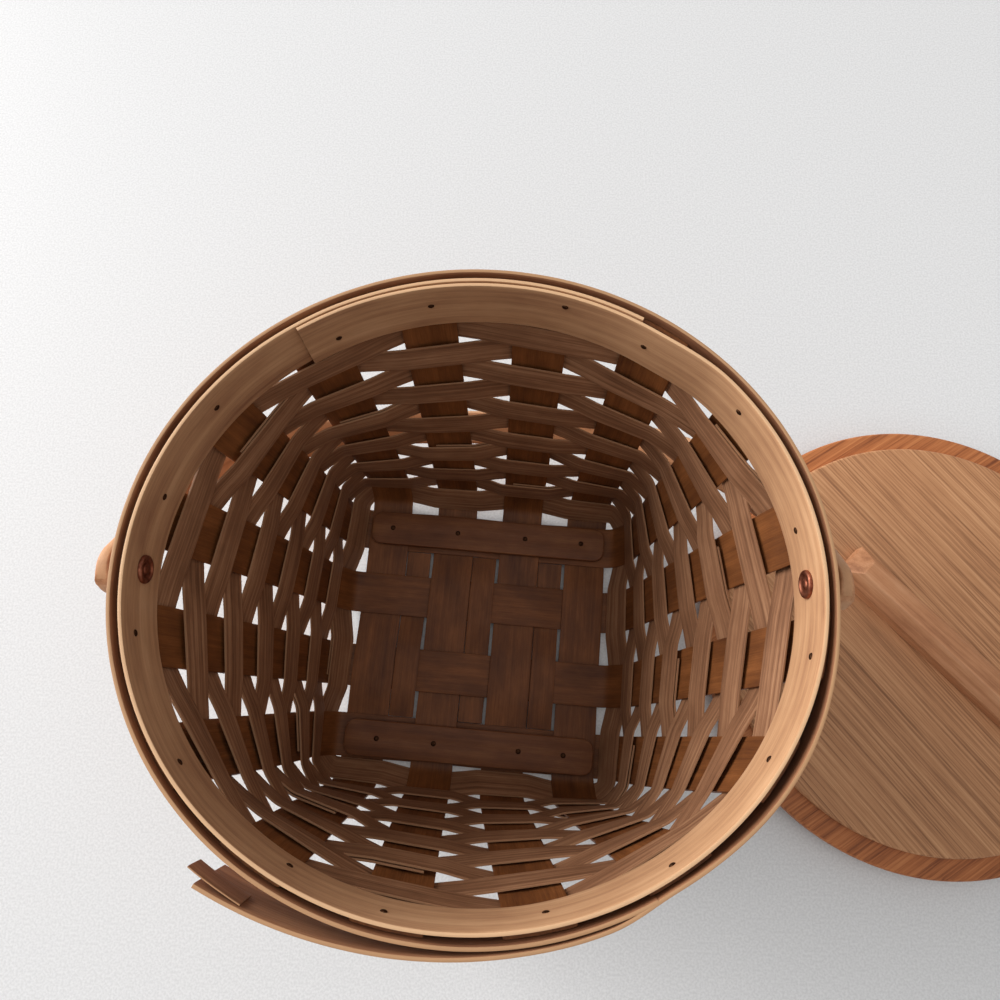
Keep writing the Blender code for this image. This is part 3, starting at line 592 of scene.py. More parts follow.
def wall_rails(stake, flip):
    rails, crowns = [], []
    for height in np.linspace(FOOT, STAKE_TOP, WALL_STEPS):
        middle = wall_at(stake, height)
        half = along_wall(stake, height) * STAKE_WIDTH / 2
        row = (WEAVE_TOP - height) / WEAVER_PITCH
        give = 0.0
        if 0 < row < WEAVERS:
            give = -over(int(row), stake) * STAKE_GIVE * math.sin(math.pi * (row % 1))
        middle = middle + outward_at(stake, height) * give
        rails.append((middle + half, middle - half) if flip else (middle - half, middle + half))
        crowns.append(crown_at(height))
    return rails, crowns


def fold_rails(flat, upright):
    rails = []
    for share in np.linspace(0, 1, FOLD_STEPS)[1:-1]:
        pair = []
        for start, end in zip(flat, upright):
            bend = Vector((end.x, end.y, start.z))
            pair.append(start.lerp(bend, share).lerp(bend.lerp(end, share), share))
        rails.append(tuple(pair))
    return rails


def stake(name, first, last, flat, flip, seed):
    start, start_crowns = wall_rails(first, flip)
    end, end_crowns = wall_rails(last, not flip)
    fold_in, fold_out = fold_rails(flat[0], start[0]), fold_rails(flat[-1], end[0])
    rails = start[::-1] + fold_in[::-1] + flat + fold_out + end
    crowns = start_crowns[::-1] + [0] * (len(rails) - len(start) - len(end)) + end_crowns
    if flip:
        rails = [(far, near) for near, far in rails]
    path = spring(rails, reach=7 * MM, crown=crowns)
    piece = splint(name, path, STAKE_THICKNESS, STAKE_WOOD, seed, power=0.22, raggedness=0.012)
    stand_in(piece, "basket", name)


# %% Weave the base and turn it up
half = STAKE_WIDTH / 2
for column in range(SIDE_STAKES):
    flat = []
    x = column_x(column)
    for row in reversed(range(SIDE_STAKES)):
        level = BASE_LEVEL + over(row, column) * WEAVE_RISE
        for edge in (-half, half):
            y = max(min(row_y(row) + edge, FOLD_START), -FOLD_START)
            flat.append((base_point(x - half, y, level), base_point(x + half, y, level)))
    front, back = 3 * SIDE_STAKES + column, 2 * SIDE_STAKES - 1 - column
    stake("stake_column_%d" % (column + 1), front, back, flat, flip=False, seed=11 + column)

for row in range(SIDE_STAKES):
    flat = []
    y = row_y(row)
    for column in range(SIDE_STAKES):
        level = BASE_LEVEL - over(row, column) * WEAVE_RISE
        for edge in (-half, half):
            x = max(min(column_x(column) + edge, FOLD_START), -FOLD_START)
            flat.append((base_point(x, y - half, level), base_point(x, y + half, level)))
    for place, x in ((0, -FOLD_START), (-1, FOLD_START)):
        level = flat[place][0].z
        flat[place] = (base_point(x, y - half, level), base_point(x, y + half, level))
    left, right = 2 * SIDE_STAKES + row, LAST_STEP - row
    stake("stake_row_%d" % (row + 1), left, right, flat, flip=True, seed=21 + row)

# %% [markdown]
# ## The fillers
#
# Three narrow splints fill the slots beside the first three columns. They go through the two
# middle rows only, and stop at the outer rows. Wider columns would close the slots too, but the
# light slits beside the fillers would go with them.

# %% The fillers
SLIT = 1.1 * STAKE_THICKNESS
FILLER_WIDTH = COLUMN_PITCH - STAKE_WIDTH - SLIT - GAP
FILLER_THICKNESS = 0.55 * STAKE_THICKNESS
FILLER_RISE = 2.1 * WEAVE_RISE
filler_end = row_y(0) - half - GAP
for column in range(SIDE_STAKES - 1):
    low = column_x(column) + half + GAP
    high = low + FILLER_WIDTH
    marks = [(-filler_end, BASE_LEVEL)]
    for row in (2, 1):
        level = BASE_LEVEL + over(row, column) * FILLER_RISE
        marks += [(row_y(row) - half, level), (row_y(row) + half, level)]
    marks.append((filler_end, BASE_LEVEL))
    rails = [(base_point(low, along, level), base_point(high, along, level))
             for along, level in marks]
    name = "filler_%d" % (column + 1)
    piece = splint(name, spring(rails, reach=5 * MM), FILLER_THICKNESS, STAKE_WOOD,
                   seed=31 + column, waviness=0.1 * MM)
    stand_in(piece, "basket", name)

# %% [markdown]
# ## The weavers
#
# Each of the twelve weavers goes once round the wall, inside one stake and outside the next, and
# laps over its own start. One long spiral would be simpler, but it would climb the wall, and the
# real rows are level and separate. The weave is not tight: towards the rim the weavers stand a
# little off the stakes, and that leaves the three-cornered windows that the light comes through.

# %% How far a weaver stands off the wall
LAP_STEP, LAP_FIRST = 5, 2
WEAVE_OFFSET = (STAKE_THICKNESS + WEAVER_THICKNESS) / 2 + GAP
LAP = WEAVER_THICKNESS + GAP
SLACK_INSIDE = 1.3 * WEAVER_THICKNESS
SLACK_OUTSIDE = 0.3 * WEAVER_THICKNESS
FRONT_SLACK_SHARE = 0.3
FRONT_FIRST = 3 * SIDE_STAKES


def on_stake(number, share, height, offset):
    point = wall_at(number, height) + along_wall(number, height) * (share * STAKE_WIDTH)
    return point + outward_at(number, height) * (offset - crown_at(height))


def weave_offset(row, number, level, first):
    side = over(row, number)
    slack = (SLACK_OUTSIDE if side > 0 else SLACK_INSIDE) * level / BAND_LEVEL
    if number % STAKES >= FRONT_FIRST:
        slack *= FRONT_SLACK_SHARE
    offset = side * (WEAVE_OFFSET + slack)
    if number <= first + 1 and side < 0:
        offset -= LAP
    if number >= first + STAKES and side > 0:
        offset += LAP
    return offset


print("at the top a weaver stands", round((WEAVE_OFFSET + SLACK_INSIDE) / MM, 2), "mm off the wall")

# %% The weavers' rails
WEAVER_EDGE = 0.016 * WEAVER_PITCH
LAST_ROW_DROP = 2.4 * MM
FLAT_INSIDE, FLAT_OUTSIDE, FLAT_AT_END = 0.58, 0.46, 0.3
BULGE, CORNER_BULGE = 0.25, 0.1


# Halfway between two stakes the weaver keeps near the straight line from one to the next
def between(number, level, offset, near, far):
    chord = (near + far) / 2
    wall = wall_at(number + 0.5, level) + outward_at(number + 0.5, level) * offset
    return chord.lerp(wall, CORNER_BULGE if number % SIDE_STAKES == LAST_STEP else BULGE)


def weaver_rails(row):
    first = (LAP_STEP * row + LAP_FIRST) % STAKES
    last = first + STAKES + 1
    top = WEAVE_TOP - row * WEAVER_PITCH - WEAVER_EDGE
    bottom = top - WEAVER_PITCH + 2 * WEAVER_EDGE - (LAST_ROW_DROP if row == WEAVERS - 1 else 0)
    rails = []
    for number in range(first, last + 1):
        offset = weave_offset(row, number, bottom, first)
        reach = FLAT_INSIDE if offset < 0 else FLAT_OUTSIDE
        start = -FLAT_AT_END if number == first else -reach
        end = FLAT_AT_END if number == last else reach
        for share in (start, 0, end):
            rails.append([on_stake(number, share, level, offset) for level in (bottom, top)])
    middles = []
    for number in range(first, last):
        near, far = rails[3 * (number - first) + 2], rails[3 * (number - first) + 3]
        lap = -LAP / 2 if number == first else LAP / 2 if number >= first + STAKES else 0
        middles.append([between(number, level, lap, near[i], far[i])
                        for i, level in enumerate((bottom, top))])
    for place, middle in reversed(list(enumerate(middles))):
        rails.insert(3 * place + 3, middle)
    return rails


# %% Weave the wall
WEAVER_THICKNESS_SHARE = 0.85
for row in range(WEAVERS):
    name = "weaver_%02d" % (row + 1)
    path = spring(weaver_rails(row), reach=2.4 * MM, step=1.2 * MM, stretch=1.03)
    piece = splint(name, path, WEAVER_THICKNESS_SHARE * WEAVER_THICKNESS, WEAVER_WOOD,
                   seed=41 + row, power=0.15, waviness=0.15 * MM, raggedness=0.012)
    stand_in(piece, "basket", name)

# %% [markdown]
# ## The rim bands
#
# Two wider bands hold the stakes' tops between them, one inside and one outside. Each is one bent
# strip whose end laps over its start. A closed ring would be easier, but it would hide how the rim
# is made. The outer band's end has come loose and springs away at the front left, and a short ply
# has split from it. So the distance from the wall is a function of the turn.

# %% How far the bands stand off the wall
BAND_OFFSET = (STAKE_THICKNESS + BAND_THICKNESS) / 2 + GAP
BAND_LAP = BAND_THICKNESS + GAP
INNER_START, INNER_END = 4.158, STAKES + 7.082
INNER_RAMP = (19.4, 19.9)
OUTER_START, OUTER_END = 11.8, STAKES + 14.78
OUTER_RAMP = (14.5, 14.83)
LOOSE_TURNS = OUTER_RAMP[0] - 11.72
LOOSE_REACH, LOOSE_POWER = 5.5 * BAND_THICKNESS, 2.4
GAPE, GAPE_TURN, GAPE_TURNS = 1.1 * MM, 16.1, 1.3
PLY_START, PLY_END, PLY_TURNS = 11.7, 12.1, 0.4
PLY_THICKNESS, PLY_SPRING = 0.45 * BAND_THICKNESS, 2.5 * MM
PLY_INSET = 0.75 * BAND_THICKNESS
PLY_LOW, PLY_HIGH = 0.42, 0.03


def inner_offset(turn):
    return -BAND_OFFSET - BAND_LAP * np.interp(turn, INNER_RAMP, (0, 1))


def outer_offset(turn):
    lap = np.interp(turn, OUTER_RAMP, (1, 0))
    loose = max((OUTER_RAMP[0] - turn) / LOOSE_TURNS, 0)
    gape = 1 + math.cos(math.pi * max(min((turn - GAPE_TURN) / GAPE_TURNS, 1), -1))
    return BAND_OFFSET + BAND_LAP * lap + LOOSE_REACH * loose ** LOOSE_POWER + GAPE * gape


def ply_offset(turn):
    return outer_offset(turn) - PLY_INSET - PLY_SPRING * (PLY_END - turn) / PLY_TURNS


# %% Bend the rim bands and the split ply
RIM_POINTS_PER_STAKE = 20


def band_rails(start, end, offset_at):
    rails = []
    for turn in np.linspace(start, end, int((end - start) * RIM_POINTS_PER_STAKE)):
        place = wall_at(turn, HEIGHT) + outward_at(turn, HEIGHT) * offset_at(turn)
        rails.append([Vector((place.x, place.y, level)) for level in (BAND_LEVEL + GAP, HEIGHT)])
    return rails


inner_rails = band_rails(INNER_START, INNER_END, inner_offset)
outer_rails = band_rails(OUTER_START, OUTER_END, outer_offset)
for name, rails, finish in (("rim_inner_band", inner_rails, BAND_WOOD),
                            ("rim_outer_band", outer_rails, OUTER_WOOD)):
    piece = splint(name, spring(rails, reach=8 * MM), BAND_THICKNESS, finish, seed=14,
                   waviness=0.4 * MM, raggedness=0.01)
    stand_in(piece, "basket", name)

rails = [(high.lerp(low, PLY_LOW), high.lerp(low, PLY_HIGH))
         for low, high in band_rails(PLY_START, PLY_END, ply_offset)]
ply = splint("rim_outer_ply", spring(rails, reach=4 * MM), PLY_THICKNESS, OUTER_WOOD, seed=9,
             power=0.5, waviness=0.8 * MM)
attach(ply, "basket")

# %% [markdown]
# ## Tacks
#
# A tack through the rim holds each stake. Only its small domed head shows. Each head could be a
# copy of one object, but Instance on Points puts one at each place and turns it to face into the
# basket, and Realize Instances makes them one mesh.

# %% The tacks' metal and the rivets' metal
SPECK_STOPS = (0.35, 0.65)
DULL_ROUGHER, WORN_SMOOTHER = 0.12, 0.08
PIT_DEPTH = 0.1 * MM


def metal(name, dark, light, roughness, size):
    material, tree = new_material(name)
    known = add(tree, "ShaderNodeTexCoord")
    spots = add(tree, "ShaderNodeTexNoise",
                {"Vector": known.outputs["Object"], "Scale": 1 / size, "Detail": 3.0})
    ramp = add(tree, "ShaderNodeValToRGB", {"Fac": spots})
    for stop, place, code in zip(ramp.color_ramp.elements, SPECK_STOPS, (dark, light)):
        stop.position, stop.color = place, linear(code)
    rough = add(tree, "ShaderNodeMapRange", {"Value": spots, "To Min": roughness + DULL_ROUGHER,
                                             "To Max": roughness - WORN_SMOOTHER})
    bump = add(tree, "ShaderNodeBump", {"Strength": 0.3, "Distance": PIT_DEPTH, "Height": spots})
    shader = add(tree, "ShaderNodeBsdfPrincipled",
                 {"Base Color": ramp.outputs["Color"], "Metallic": 1.0, "Roughness": rough,
                  "Normal": bump})
    add(tree, "ShaderNodeOutputMaterial", {"Surface": shader})
    return material


# Small iron tack, rusted: nearly black and dull, with brown specks of about 1 mm
IRON = metal("rusted iron tacks", "35231a", "5c3f2c", roughness=0.6, size=1.0 * MM)
# Hammered copper, dulled by age: dark red brown, with brighter patches of 2.5 mm where it is worn
COPPER = metal("aged copper", "7a4433", "b0735a", roughness=0.5, size=2.5 * MM)
print("2 metals")


# %% The tree that sets tack heads
def make_tack_tree():
    tree, given = new_tree("tack heads", (("Places", "Geometry"), ("Radius", "Float"),
                                          ("Height share", "Float"), ("Metal", "Material")))
    head = add(tree, "GeometryNodeMeshUVSphere",
               {"Segments": 14, "Rings": 7, "Radius": given["Radius"]})
    size = add(tree, "ShaderNodeCombineXYZ", {0: 1.0, 1: 1.0, 2: given["Height share"]})
    head = add(tree, "GeometryNodeTransform", {"Geometry": head, "Scale": size})
    head = add(tree, "GeometryNodeSetShadeSmooth", {"Geometry": head})
    facing = add(tree, "GeometryNodeInputNamedAttribute", {"Name": "facing"},
                 data_type="FLOAT_VECTOR")
    turn = add(tree, "FunctionNodeAlignRotationToVector", {"Vector": facing}, axis="Z")
    heads = add(tree, "GeometryNodeInstanceOnPoints",
                {"Points": given["Places"], "Instance": head, "Rotation": turn})
    heads = add(tree, "GeometryNodeRealizeInstances", {"Geometry": heads})
    heads = add(tree, "GeometryNodeSetMaterial", {"Geometry": heads, "Material": given["Metal"]})
    add(tree, "NodeGroupOutput", {0: heads})
    return tree


TACK_TREE = make_tack_tree()
TACK_HEIGHT_SHARE = 0.45


def tack_heads(name, places, facings, radius):
    mesh = bpy.data.meshes.new(name)
    mesh.from_pydata([tuple(place) for place in places], [], [])
    facing_data = mesh.attributes.new("facing", "FLOAT_VECTOR", "POINT")
    facing_data.data.foreach_set("vector", [value for facing in facings for value in facing])
    heads = grow(name, mesh, TACK_TREE, Radius=radius, Metal=IRON,
                 **{"Height share": TACK_HEIGHT_SHARE})
    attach(heads, "basket")


# %% [markdown]
# Nobody measures where a tack goes, so the tacks are never quite in line. Random numbers could
# move them, but shares of the stake's width and of the band's height are typed here, so that each
# tack surely goes through its stake.

# %% Where the tacks are
TACK_RADIUS = 0.07 * STAKE_WIDTH
RIM_HEAD_RADIUS, SLAT_HEAD_RADIUS = 0.8 * TACK_RADIUS, 0.9 * TACK_RADIUS
TACK_SHARES = (0.10, -0.20, -0.07, 0.15, 0.13, -0.40, -0.10, -0.42,
               0.00, -0.27, 0.07, 0.20, 0.42, -0.10, 0.12, -0.02)
TACK_DROPS = (0.42, 0.30, 0.55, 0.36, 0.47, 0.25, 0.44, 0.62,
              0.38, 0.50, 0.33, 0.41, 0.58, 0.37, 0.48, 0.29)
LAPPED_FROM, LAPPED_TO = 3.76, 6.98
places, facings = [], []
for number, (share, drop) in enumerate(zip(TACK_SHARES, TACK_DROPS)):
    turn = number + share * STAKE_WIDTH / (math.tau * STAKE_RADIUS / STAKES)
    lapped = LAPPED_FROM < turn < LAPPED_TO
    face = -BAND_OFFSET - BAND_THICKNESS / 2 - (BAND_LAP if lapped else 0)
    outward = outward_at(turn, HEIGHT)
    places.append(wall_at(turn, HEIGHT) + outward * face - Vector((0, 0, drop * BAND_HEIGHT)))
    facings.append(-outward)
tack_heads("rim_tack_heads", places, facings, RIM_HEAD_RADIUS)

SLAT_TOP = BASE_LEVEL + WEAVE_RISE + STAKE_THICKNESS / 2 + GAP + SLAT_THICKNESS
SLAT_LENGTH = 0.8587 * 2 * BASE_HALF_X
SLAT_Y = 1.012 * ROW_OUTER
SLAT_SHARES = ((1, (-0.41, -0.13, 0.16, 0.40)), (-1, (-0.37, -0.14, 0.20, 0.38)))
slat_places = [base_point(share * SLAT_LENGTH, side * SLAT_Y, SLAT_TOP)
               for side, shares in SLAT_SHARES for share in shares]
upwards = [Vector((0, 0, 1))] * len(slat_places)
tack_heads("slat_tack_heads", slat_places, upwards, SLAT_HEAD_RADIUS)
print(len(places), "tacks in the rim and", len(slat_places), "in the slats")

# %% [markdown]
# ## Turned parts
#
# Rivets, washers and the round boards are all turned: one outline goes once round an axis. A Screw
# modifier could spin the outline, but a tree takes the number of steps and the finish as inputs.
# It sweeps the outline round a circle. Set Position multiplies each outline point's radius with
# the circle's direction, and Merge by Distance closes the middle. Flip Faces turns the faces
# outwards.

# %% The tree for turned parts
SMALL_STEPS, CAP_STEPS, BOARD_STEPS = 40, 48, 160
TURNED_SHARPEST = 0.6
CLOSE_ENOUGH = 0.001 * MM


def make_lathe_tree():
    tree, given = new_tree("turned part", (("Outline", "Geometry"), ("Steps", "Int"),
                                           ("Finish", "Material")))
    outline = add(tree, "GeometryNodeMeshToCurve", {"Mesh": given["Outline"]})
    where = add(tree, "ShaderNodeSeparateXYZ", {0: add(tree, "GeometryNodeInputPosition")})
    for label, axis in (("away", "X"), ("level", "Z")):
        outline = add(tree, "GeometryNodeStoreNamedAttribute",
                      {"Geometry": outline, "Name": label, "Value": where.outputs[axis]})
    ring = add(tree, "GeometryNodeCurvePrimitiveCircle",
               {"Resolution": given["Steps"], "Radius": 1.0})
    ring = add(tree, "GeometryNodeStoreNamedAttribute",
               {"Geometry": ring, "Name": "round", "Value": add(tree, "GeometryNodeInputPosition")},
               data_type="FLOAT_VECTOR")
    swept = add(tree, "GeometryNodeCurveToMesh", {"Curve": ring, "Profile Curve": outline})
    radius = add(tree, "GeometryNodeInputNamedAttribute", {"Name": "away"}, data_type="FLOAT")
    level = add(tree, "GeometryNodeInputNamedAttribute", {"Name": "level"}, data_type="FLOAT")
    around = add(tree, "GeometryNodeInputNamedAttribute", {"Name": "round"},
                 data_type="FLOAT_VECTOR")
    flat = add(tree, "ShaderNodeVectorMath", {0: around, "Scale": radius}, operation="SCALE")
    lift = add(tree, "ShaderNodeCombineXYZ", {2: level})
    point = add(tree, "ShaderNodeVectorMath", {0: flat, 1: lift}, operation="ADD")
    shaped = add(tree, "GeometryNodeSetPosition", {"Geometry": swept, "Position": point})
    shaped = add(tree, "GeometryNodeMergeByDistance",
                 {"Geometry": shaped, "Distance": CLOSE_ENOUGH})
    shaped = add(tree, "GeometryNodeFlipFaces", {"Mesh": shaped})
    finish_tree(tree, shaped, TURNED_SHARPEST, given["Finish"])
    return tree


LATHE_TREE = make_lathe_tree()
print("the lathe tree has", len(LATHE_TREE.nodes), "nodes")


# %% Outlines and the pieces turned from them
def turned(name, outline, steps, material, matrix, body):
    mesh = bpy.data.meshes.new(name)
    edges = [(i, i + 1) for i in range(len(outline) - 1)]
    ring_shaped = outline[0][0] > 0
    if ring_shaped:
        edges.append((len(outline) - 1, 0))
    mesh.from_pydata([(radius, 0, level) for radius, level in outline], edges, [])
    piece = grow(name, mesh, LATHE_TREE, Steps=steps, Finish=material)
    piece.data.transform(matrix)
    stand_in(piece, body, name)


def arc(radius, level, size, start, end, steps=5):
    angles = np.radians(np.linspace(start, end, steps))
    return [(radius + size * math.cos(angle), level + size * math.sin(angle)) for angle in angles]


def dome(radius, level, height, steps=9):
    angles = np.linspace(0, math.pi / 2, steps)
    return [(radius * math.cos(angle), level + height * math.sin(angle)) for angle in angles]


# %% [markdown]
# ## Rivets
#
# A copper rivet goes through the rim and the end of the handle on each side. Inside the rim a
# shallow cap shows with the rivet's hammered end in its middle, outside the handle there is a low
# domed head, and a washer keeps the handle off the rim. Cylinders and flattened spheres could
# stand for them, but a turned outline gives each edge its own named size.

# %% The sizes round the pivot
PIVOT_LEVEL = HEIGHT - BAND_HEIGHT / 2
RIVET_RADIUS = 0.02 * RIM_RADIUS
SPACER_X = RIM_RADIUS + GAP
SPACER_RADIUS = 2.3 * RIVET_RADIUS
SPACER_THICKNESS = 0.8 * RIVET_RADIUS
HANDLE_WIDTH = 0.77 * STAKE_WIDTH
HANDLE_THICKNESS = 0.22 * STAKE_WIDTH
HANDLE_X = SPACER_X + SPACER_THICKNESS + GAP + HANDLE_THICKNESS / 2
HEAD_X = HANDLE_X + HANDLE_THICKNESS / 2 + GAP
HEAD_RADIUS = 2 * RIVET_RADIUS
HEAD_HEIGHT = 0.75 * RIVET_RADIUS
CAP_X = STAKE_RADIUS - BAND_OFFSET - BAND_THICKNESS / 2 - GAP
CAP_RADIUS = 2.08 * RIVET_RADIUS
CAP_ROUNDING, CAP_ROUNDING_LEVEL = 1.1 * MM, 0.5 * MM
CAP_DISH_LEVEL, END_LEVEL = 0.7 * MM, 0.9 * MM
END_RADIUS, END_HEIGHT = 0.8 * RIVET_RADIUS, 0.8 * MM
print("each rivet is", round((HEAD_X - CAP_X) / MM, 1), "mm long between its head and its cap")

# %% The rivets, their caps and spacers
pivot = Matrix.Translation(BASKET_AXIS + Vector((0, 0, PIVOT_LEVEL)))
for side, name in ((1, "right"), (-1, "left")):
    out = pivot @ Matrix.Rotation(side * math.pi / 2, 4, "Y")
    rivet = [(0, CAP_X), (RIVET_RADIUS, CAP_X), (RIVET_RADIUS, HEAD_X)]
    rivet += dome(HEAD_RADIUS, HEAD_X, HEAD_HEIGHT)
    turned("rivet_" + name, rivet, SMALL_STEPS, COPPER, out, "basket")
    inwards = pivot @ Matrix.Rotation(-side * math.pi / 2, 4, "Y")
    cap = [(0, -CAP_X), (CAP_RADIUS, -CAP_X)]
    cap += arc(CAP_RADIUS - CAP_ROUNDING, CAP_ROUNDING_LEVEL - CAP_X, CAP_ROUNDING,
               start=0, end=150, steps=7)
    cap.append((RIVET_RADIUS, CAP_DISH_LEVEL - CAP_X))
    cap += dome(END_RADIUS, END_LEVEL - CAP_X, END_HEIGHT, steps=5)
    turned("burr_" + name, cap, CAP_STEPS, COPPER, inwards, "basket")
    ring = [(RIVET_RADIUS + GAP, SPACER_X), (SPACER_RADIUS, SPACER_X)]
    ring += [(radius, SPACER_X + SPACER_THICKNESS) for radius, _ in reversed(ring)]
    turned("spacer_" + name, ring, SMALL_STEPS, COPPER, out, "basket")

# %% [markdown]
# ## The swing handle
#
# One thick strap of wood, steamed and bent to an arch, turns on the two rivets. A bevelled curve
# could make the arch, but not its rounded ends: swept like a splint, with a rounder profile, the
# strap gets them where the rails meet. At rest it leans on the back wall, just under fifty degrees
# below level.

# %% The handle
LEAN = math.radians(49.25)
HANDLE_REACH = 1.246 * RIM_RADIUS
ARCH_START = HANDLE_WIDTH / 2
ARCH_POWER = 0.74
ARCH_STEPS = 90
TIP_ANGLES = np.radians(np.linspace(82, 0, 9))


def handle_marks():
    tip = []
    for angle in TIP_ANGLES:
        tip.append((HANDLE_X, -ARCH_START * math.sin(angle), ARCH_START * math.cos(angle)))
    marks = []
    for angle in np.linspace(0, math.pi, ARCH_STEPS):
        x = math.copysign(abs(math.cos(angle)) ** ARCH_POWER, math.cos(angle)) * HANDLE_X
        along = ARCH_START + (HANDLE_REACH - ARCH_START) * math.sin(angle) ** ARCH_POWER
        marks.append((x, along, ARCH_START))
    return tip + marks + [(-x, along, reach) for x, along, reach in reversed(tip)]


reach_out = Vector((0, math.cos(LEAN), -math.sin(LEAN)))
cross = Vector((0, math.sin(LEAN), math.cos(LEAN)))
centre = BASKET_AXIS + Vector((0, 0, PIVOT_LEVEL))
rails = []
for x, along, reach in handle_marks():
    middle = centre + Vector((x, 0, 0)) + reach_out * along
    rails.append([middle - cross * reach, middle + cross * reach])
piece = splint("swing_handle", spring(rails, reach=3 * MM, step=1.8 * MM), HANDLE_THICKNESS,
               HANDLE_WOOD, seed=71, power=0.4, raggedness=0.0, points=32)
stand_in(piece, "handle", "swing_handle")

# %% [markdown]
# ## The lid
#
# The lid is cut from flat boards: a plug that drops into the rim, a wide board that covers it and
# a smaller panel on top, with the grain of the two turned across each other. Cylinders with a
# bevel would do for the boards, but the turned outline gives the routed edge of each its own
# rounding. The bar across the top has slopes planed on both sides, which leave a narrower grip.

# %% The lid's sizes and woods
LID_RADIUS = 1.0033 * RIM_RADIUS
PANEL_RADIUS = 0.9045 * LID_RADIUS
PLUG_THICKNESS = 0.06 * RIM_RADIUS
BOARD_THICKNESS = 0.0485 * RIM_RADIUS
PANEL_THICKNESS = 0.042 * RIM_RADIUS
BOARD_Z = PLUG_THICKNESS + GAP
PANEL_Z = BOARD_Z + BOARD_THICKNESS + GAP
BAR_TURN = math.radians(-45)
# Stained solid board, sawn along the grain: redder than the splint, with close clear lines
LID_RING_WOOD = wood("stained board of the lid", "723c20", "ad683b", "c5814f",
                     angle=math.radians(33), figure=0.4, blotch=0.12)
# Stained thin panel, planed along the grain: golden, with the finest and straightest lines; made
# lighter as painted light, against the basket's shadow that falls across it
LID_PANEL_WOOD = wood("stained panel of the lid", "885c3d", "b7835b", "cf9d72",
                      angle=math.radians(-50), figure=0.3, blotch=0.1)
# Planed and sanded hardwood bar: smooth and even, with broad bands along it; made lighter as
# painted light, for the lit facet at its end
BAR_WOOD = wood("stained bar of the lid", "96603f", "bf865e", "d6a27a", angle=BAR_TURN)
print("the lid is", round(2 * LID_RADIUS / MM, 1), "mm across and its panel",
      round(2 * PANEL_RADIUS / MM, 1), "mm")

# %% The lid's boards
LID_SHIFT = Vector((2 * LID_RADIUS, -0.03 * RIM_RADIUS, 0))
lid_place = Matrix.Translation(BASKET_AXIS + LID_SHIFT)


def board(name, radius, low, thickness, rounding, material):
    high = low + thickness
    outline = [(0, low)]
    outline += arc(radius - rounding / 2, low + rounding / 2, rounding / 2, start=-90, end=0)
    outline += arc(radius - rounding, high - rounding, rounding, start=0, end=90) + [(0, high)]
    turned(name, outline, BOARD_STEPS, material, lid_place, "lid")


board("lid_board", LID_RADIUS, BOARD_Z, BOARD_THICKNESS, rounding=2.2 * MM, material=LID_RING_WOOD)
board("lid_panel", PANEL_RADIUS, PANEL_Z, PANEL_THICKNESS, rounding=1.8 * MM,
      material=LID_PANEL_WOOD)

# %% [markdown]
# ## Slats, runners and the bar
#
# These are plain sawn pieces whose CAD solids already have the right shape, so they could stay as
# they are, but a sharp edge catches no light. A copy of each gets its loose triangles merged and
# its edges broken with a small bevel, as a few strokes of sandpaper would. The plug and the screws
# hardly show, so they only get their finish.

# %% Soften copies of the plain solids
FLAT_ANGLE = math.radians(1)
EDGE_ANGLE = math.radians(35)
SLAT_EDGE, BAR_EDGE = 0.5 * MM, 1.8 * MM


def softened(node, width, material, body):
    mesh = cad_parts[node].data.copy()
    shape = bmesh.new()
    shape.from_mesh(mesh)
    bmesh.ops.remove_doubles(shape, verts=shape.verts, dist=0.01 * MM)
    bmesh.ops.dissolve_limit(shape, angle_limit=FLAT_ANGLE, verts=shape.verts, edges=shape.edges)
    shape.to_mesh(mesh)
    shape.free()
    mesh.materials.clear()
    mesh.materials.append(material)
    source = in_scene(node + "_source", mesh)
    bevel = source.modifiers.new("broken edges", "BEVEL")
    bevel.width = width
    bevel.segments = 3
    bevel.limit_method = "ANGLE"
    bevel.angle_limit = EDGE_ANGLE
    bevel.harden_normals = True
    graph = bpy.context.evaluated_depsgraph_get()
    made = bpy.data.meshes.new_from_object(source.evaluated_get(graph), depsgraph=graph)
    bpy.data.objects.remove(source)
    made.shade_smooth()
    stand_in(in_scene(node, made), body, node)


for name in ("base_slat_back", "base_slat_front", "base_runner_back", "base_runner_front"):
    softened(name, SLAT_EDGE, SLAT_WOOD, "basket")
softened("lid_bar_handle", BAR_EDGE, BAR_WOOD, "lid")
for name, finish in (("lid_plug", LID_RING_WOOD), ("lid_screw_1", IRON), ("lid_screw_2", IRON)):
    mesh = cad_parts[name].data
    mesh.materials.clear()
    mesh.materials.append(finish)

# %% [markdown]
# ## Light, table and camera
#
# The photograph was taken from above and a little in front, with the basket on a pale table and
# soft daylight from the left. A picture of a room could light the scene, but one large lamp for
# the window and a weak one above give the same soft shadow and can be tuned one by one. The camera
# was fitted to the rim, the base and the lid.

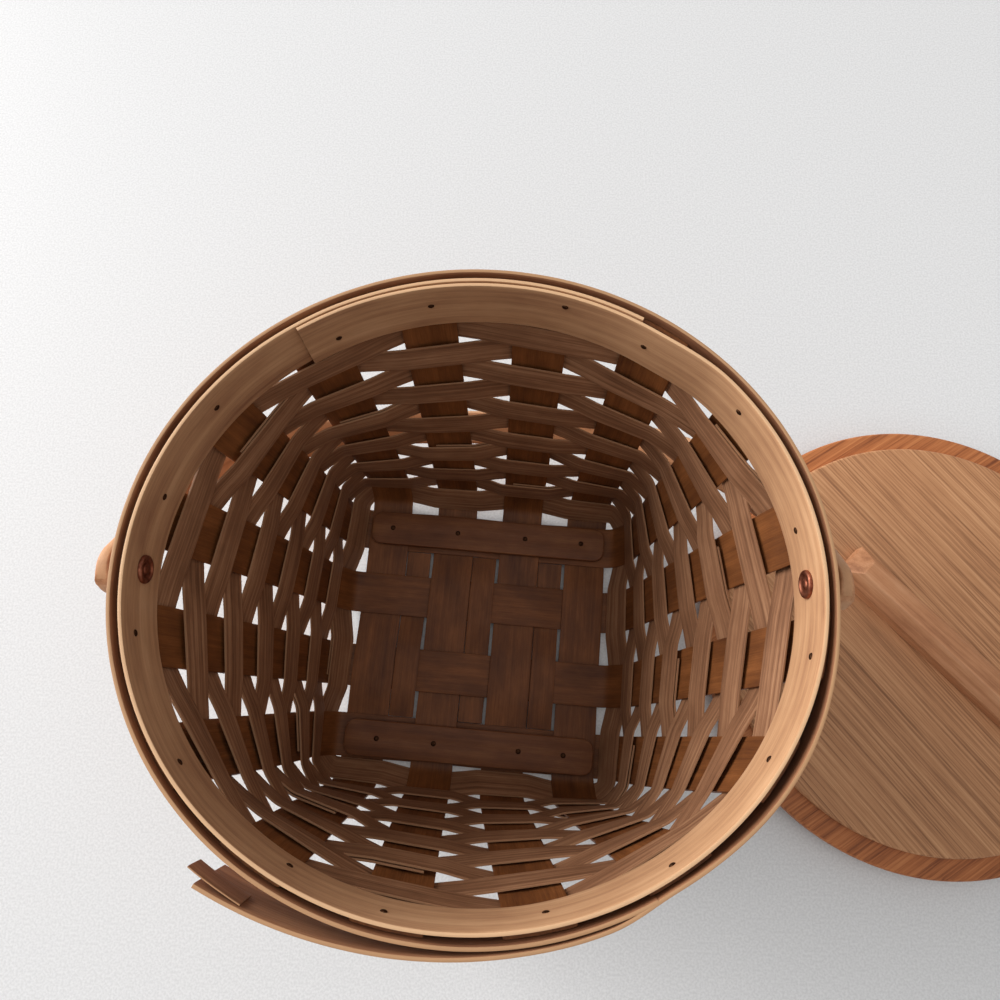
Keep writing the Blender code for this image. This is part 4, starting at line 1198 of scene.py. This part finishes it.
# %% Table
# Pale laminate, pressed with a matt texture: faint grey specks, drawn 1.5 mm wide to show at all
TABLE_HALF = 3.0
table_finish, table_tree = new_material("pale matt laminate")
flecks = add(table_tree, "ShaderNodeTexNoise",
             {"Vector": add(table_tree, "ShaderNodeTexCoord").outputs["Object"],
              "Scale": 1 / (1.5 * MM), "Detail": 2.0})
tint = add(table_tree, "ShaderNodeValToRGB", {"Fac": flecks})
for stop, place, code in zip(tint.color_ramp.elements, SPECK_STOPS, ("d6d8da", "e4e6e8")):
    stop.position, stop.color = place, linear(code)
surface = add(table_tree, "ShaderNodeBsdfPrincipled",
              {"Base Color": tint.outputs["Color"], "Roughness": 0.6})
add(table_tree, "ShaderNodeOutputMaterial", {"Surface": surface})
table_mesh = bpy.data.meshes.new("table")
corners = [(x * TABLE_HALF, y * TABLE_HALF, 0) for x, y in ((-1, -1), (1, -1), (1, 1), (-1, 1))]
table_mesh.from_pydata(corners, [], [(0, 1, 2, 3)])
table_mesh.materials.append(table_finish)
table = in_scene("table", table_mesh)
print("the table is", 2 * TABLE_HALF, "m wide")


# %% Light
def lamp(name, place, target, size, power, colour):
    data = bpy.data.lights.new(name, "AREA")
    data.size = size
    data.energy = power
    data.color = linear(colour)[:3]
    made = in_scene(name, data)
    made.location = place
    made.rotation_euler = (Vector(target) - Vector(place)).to_track_quat("-Z", "Y").to_euler()
    print(name, "lamp:", power, "W,", size, "m wide")


lamp("window", (-5.2, 2.1, 2.1), target=(-0.05, -0.02, 0.1), size=5.0, power=645, colour="fffcfa")
lamp("ceiling", (0.2, 0.0, 2.8), target=(0.1, 0.0, 0.0), size=2.0, power=9, colour="fffdfb")
world = bpy.data.worlds.new("room light")
bpy.context.scene.world = world
world.use_nodes = True
world.node_tree.nodes["Background"].inputs["Color"].default_value = linear("fcfaf8")
world.node_tree.nodes["Background"].inputs["Strength"].default_value = 0.46
bpy.context.scene.view_settings.view_transform = "Standard"

# %% Camera
SENSOR = 36
FOCAL_SHARE = 0.751
PAN, TILT, ROLL = math.radians(0.65), math.radians(15.16), math.radians(0.66)
CAMERA_PLACE = (-136.215 * MM, -48.815 * MM, 544.6 * MM)
camera_data = bpy.data.cameras.new("photo view")
camera_data.sensor_width = SENSOR
camera_data.lens = FOCAL_SHARE * SENSOR
camera = in_scene("photo view", camera_data)
camera.matrix_world = (Matrix.Translation(CAMERA_PLACE) @ Matrix.Rotation(PAN, 4, "Z")
                       @ Matrix.Rotation(TILT, 4, "X") @ Matrix.Rotation(ROLL, 4, "Z"))
bpy.context.scene.camera = camera
print("the camera's lens is", round(camera_data.lens, 1), "mm")
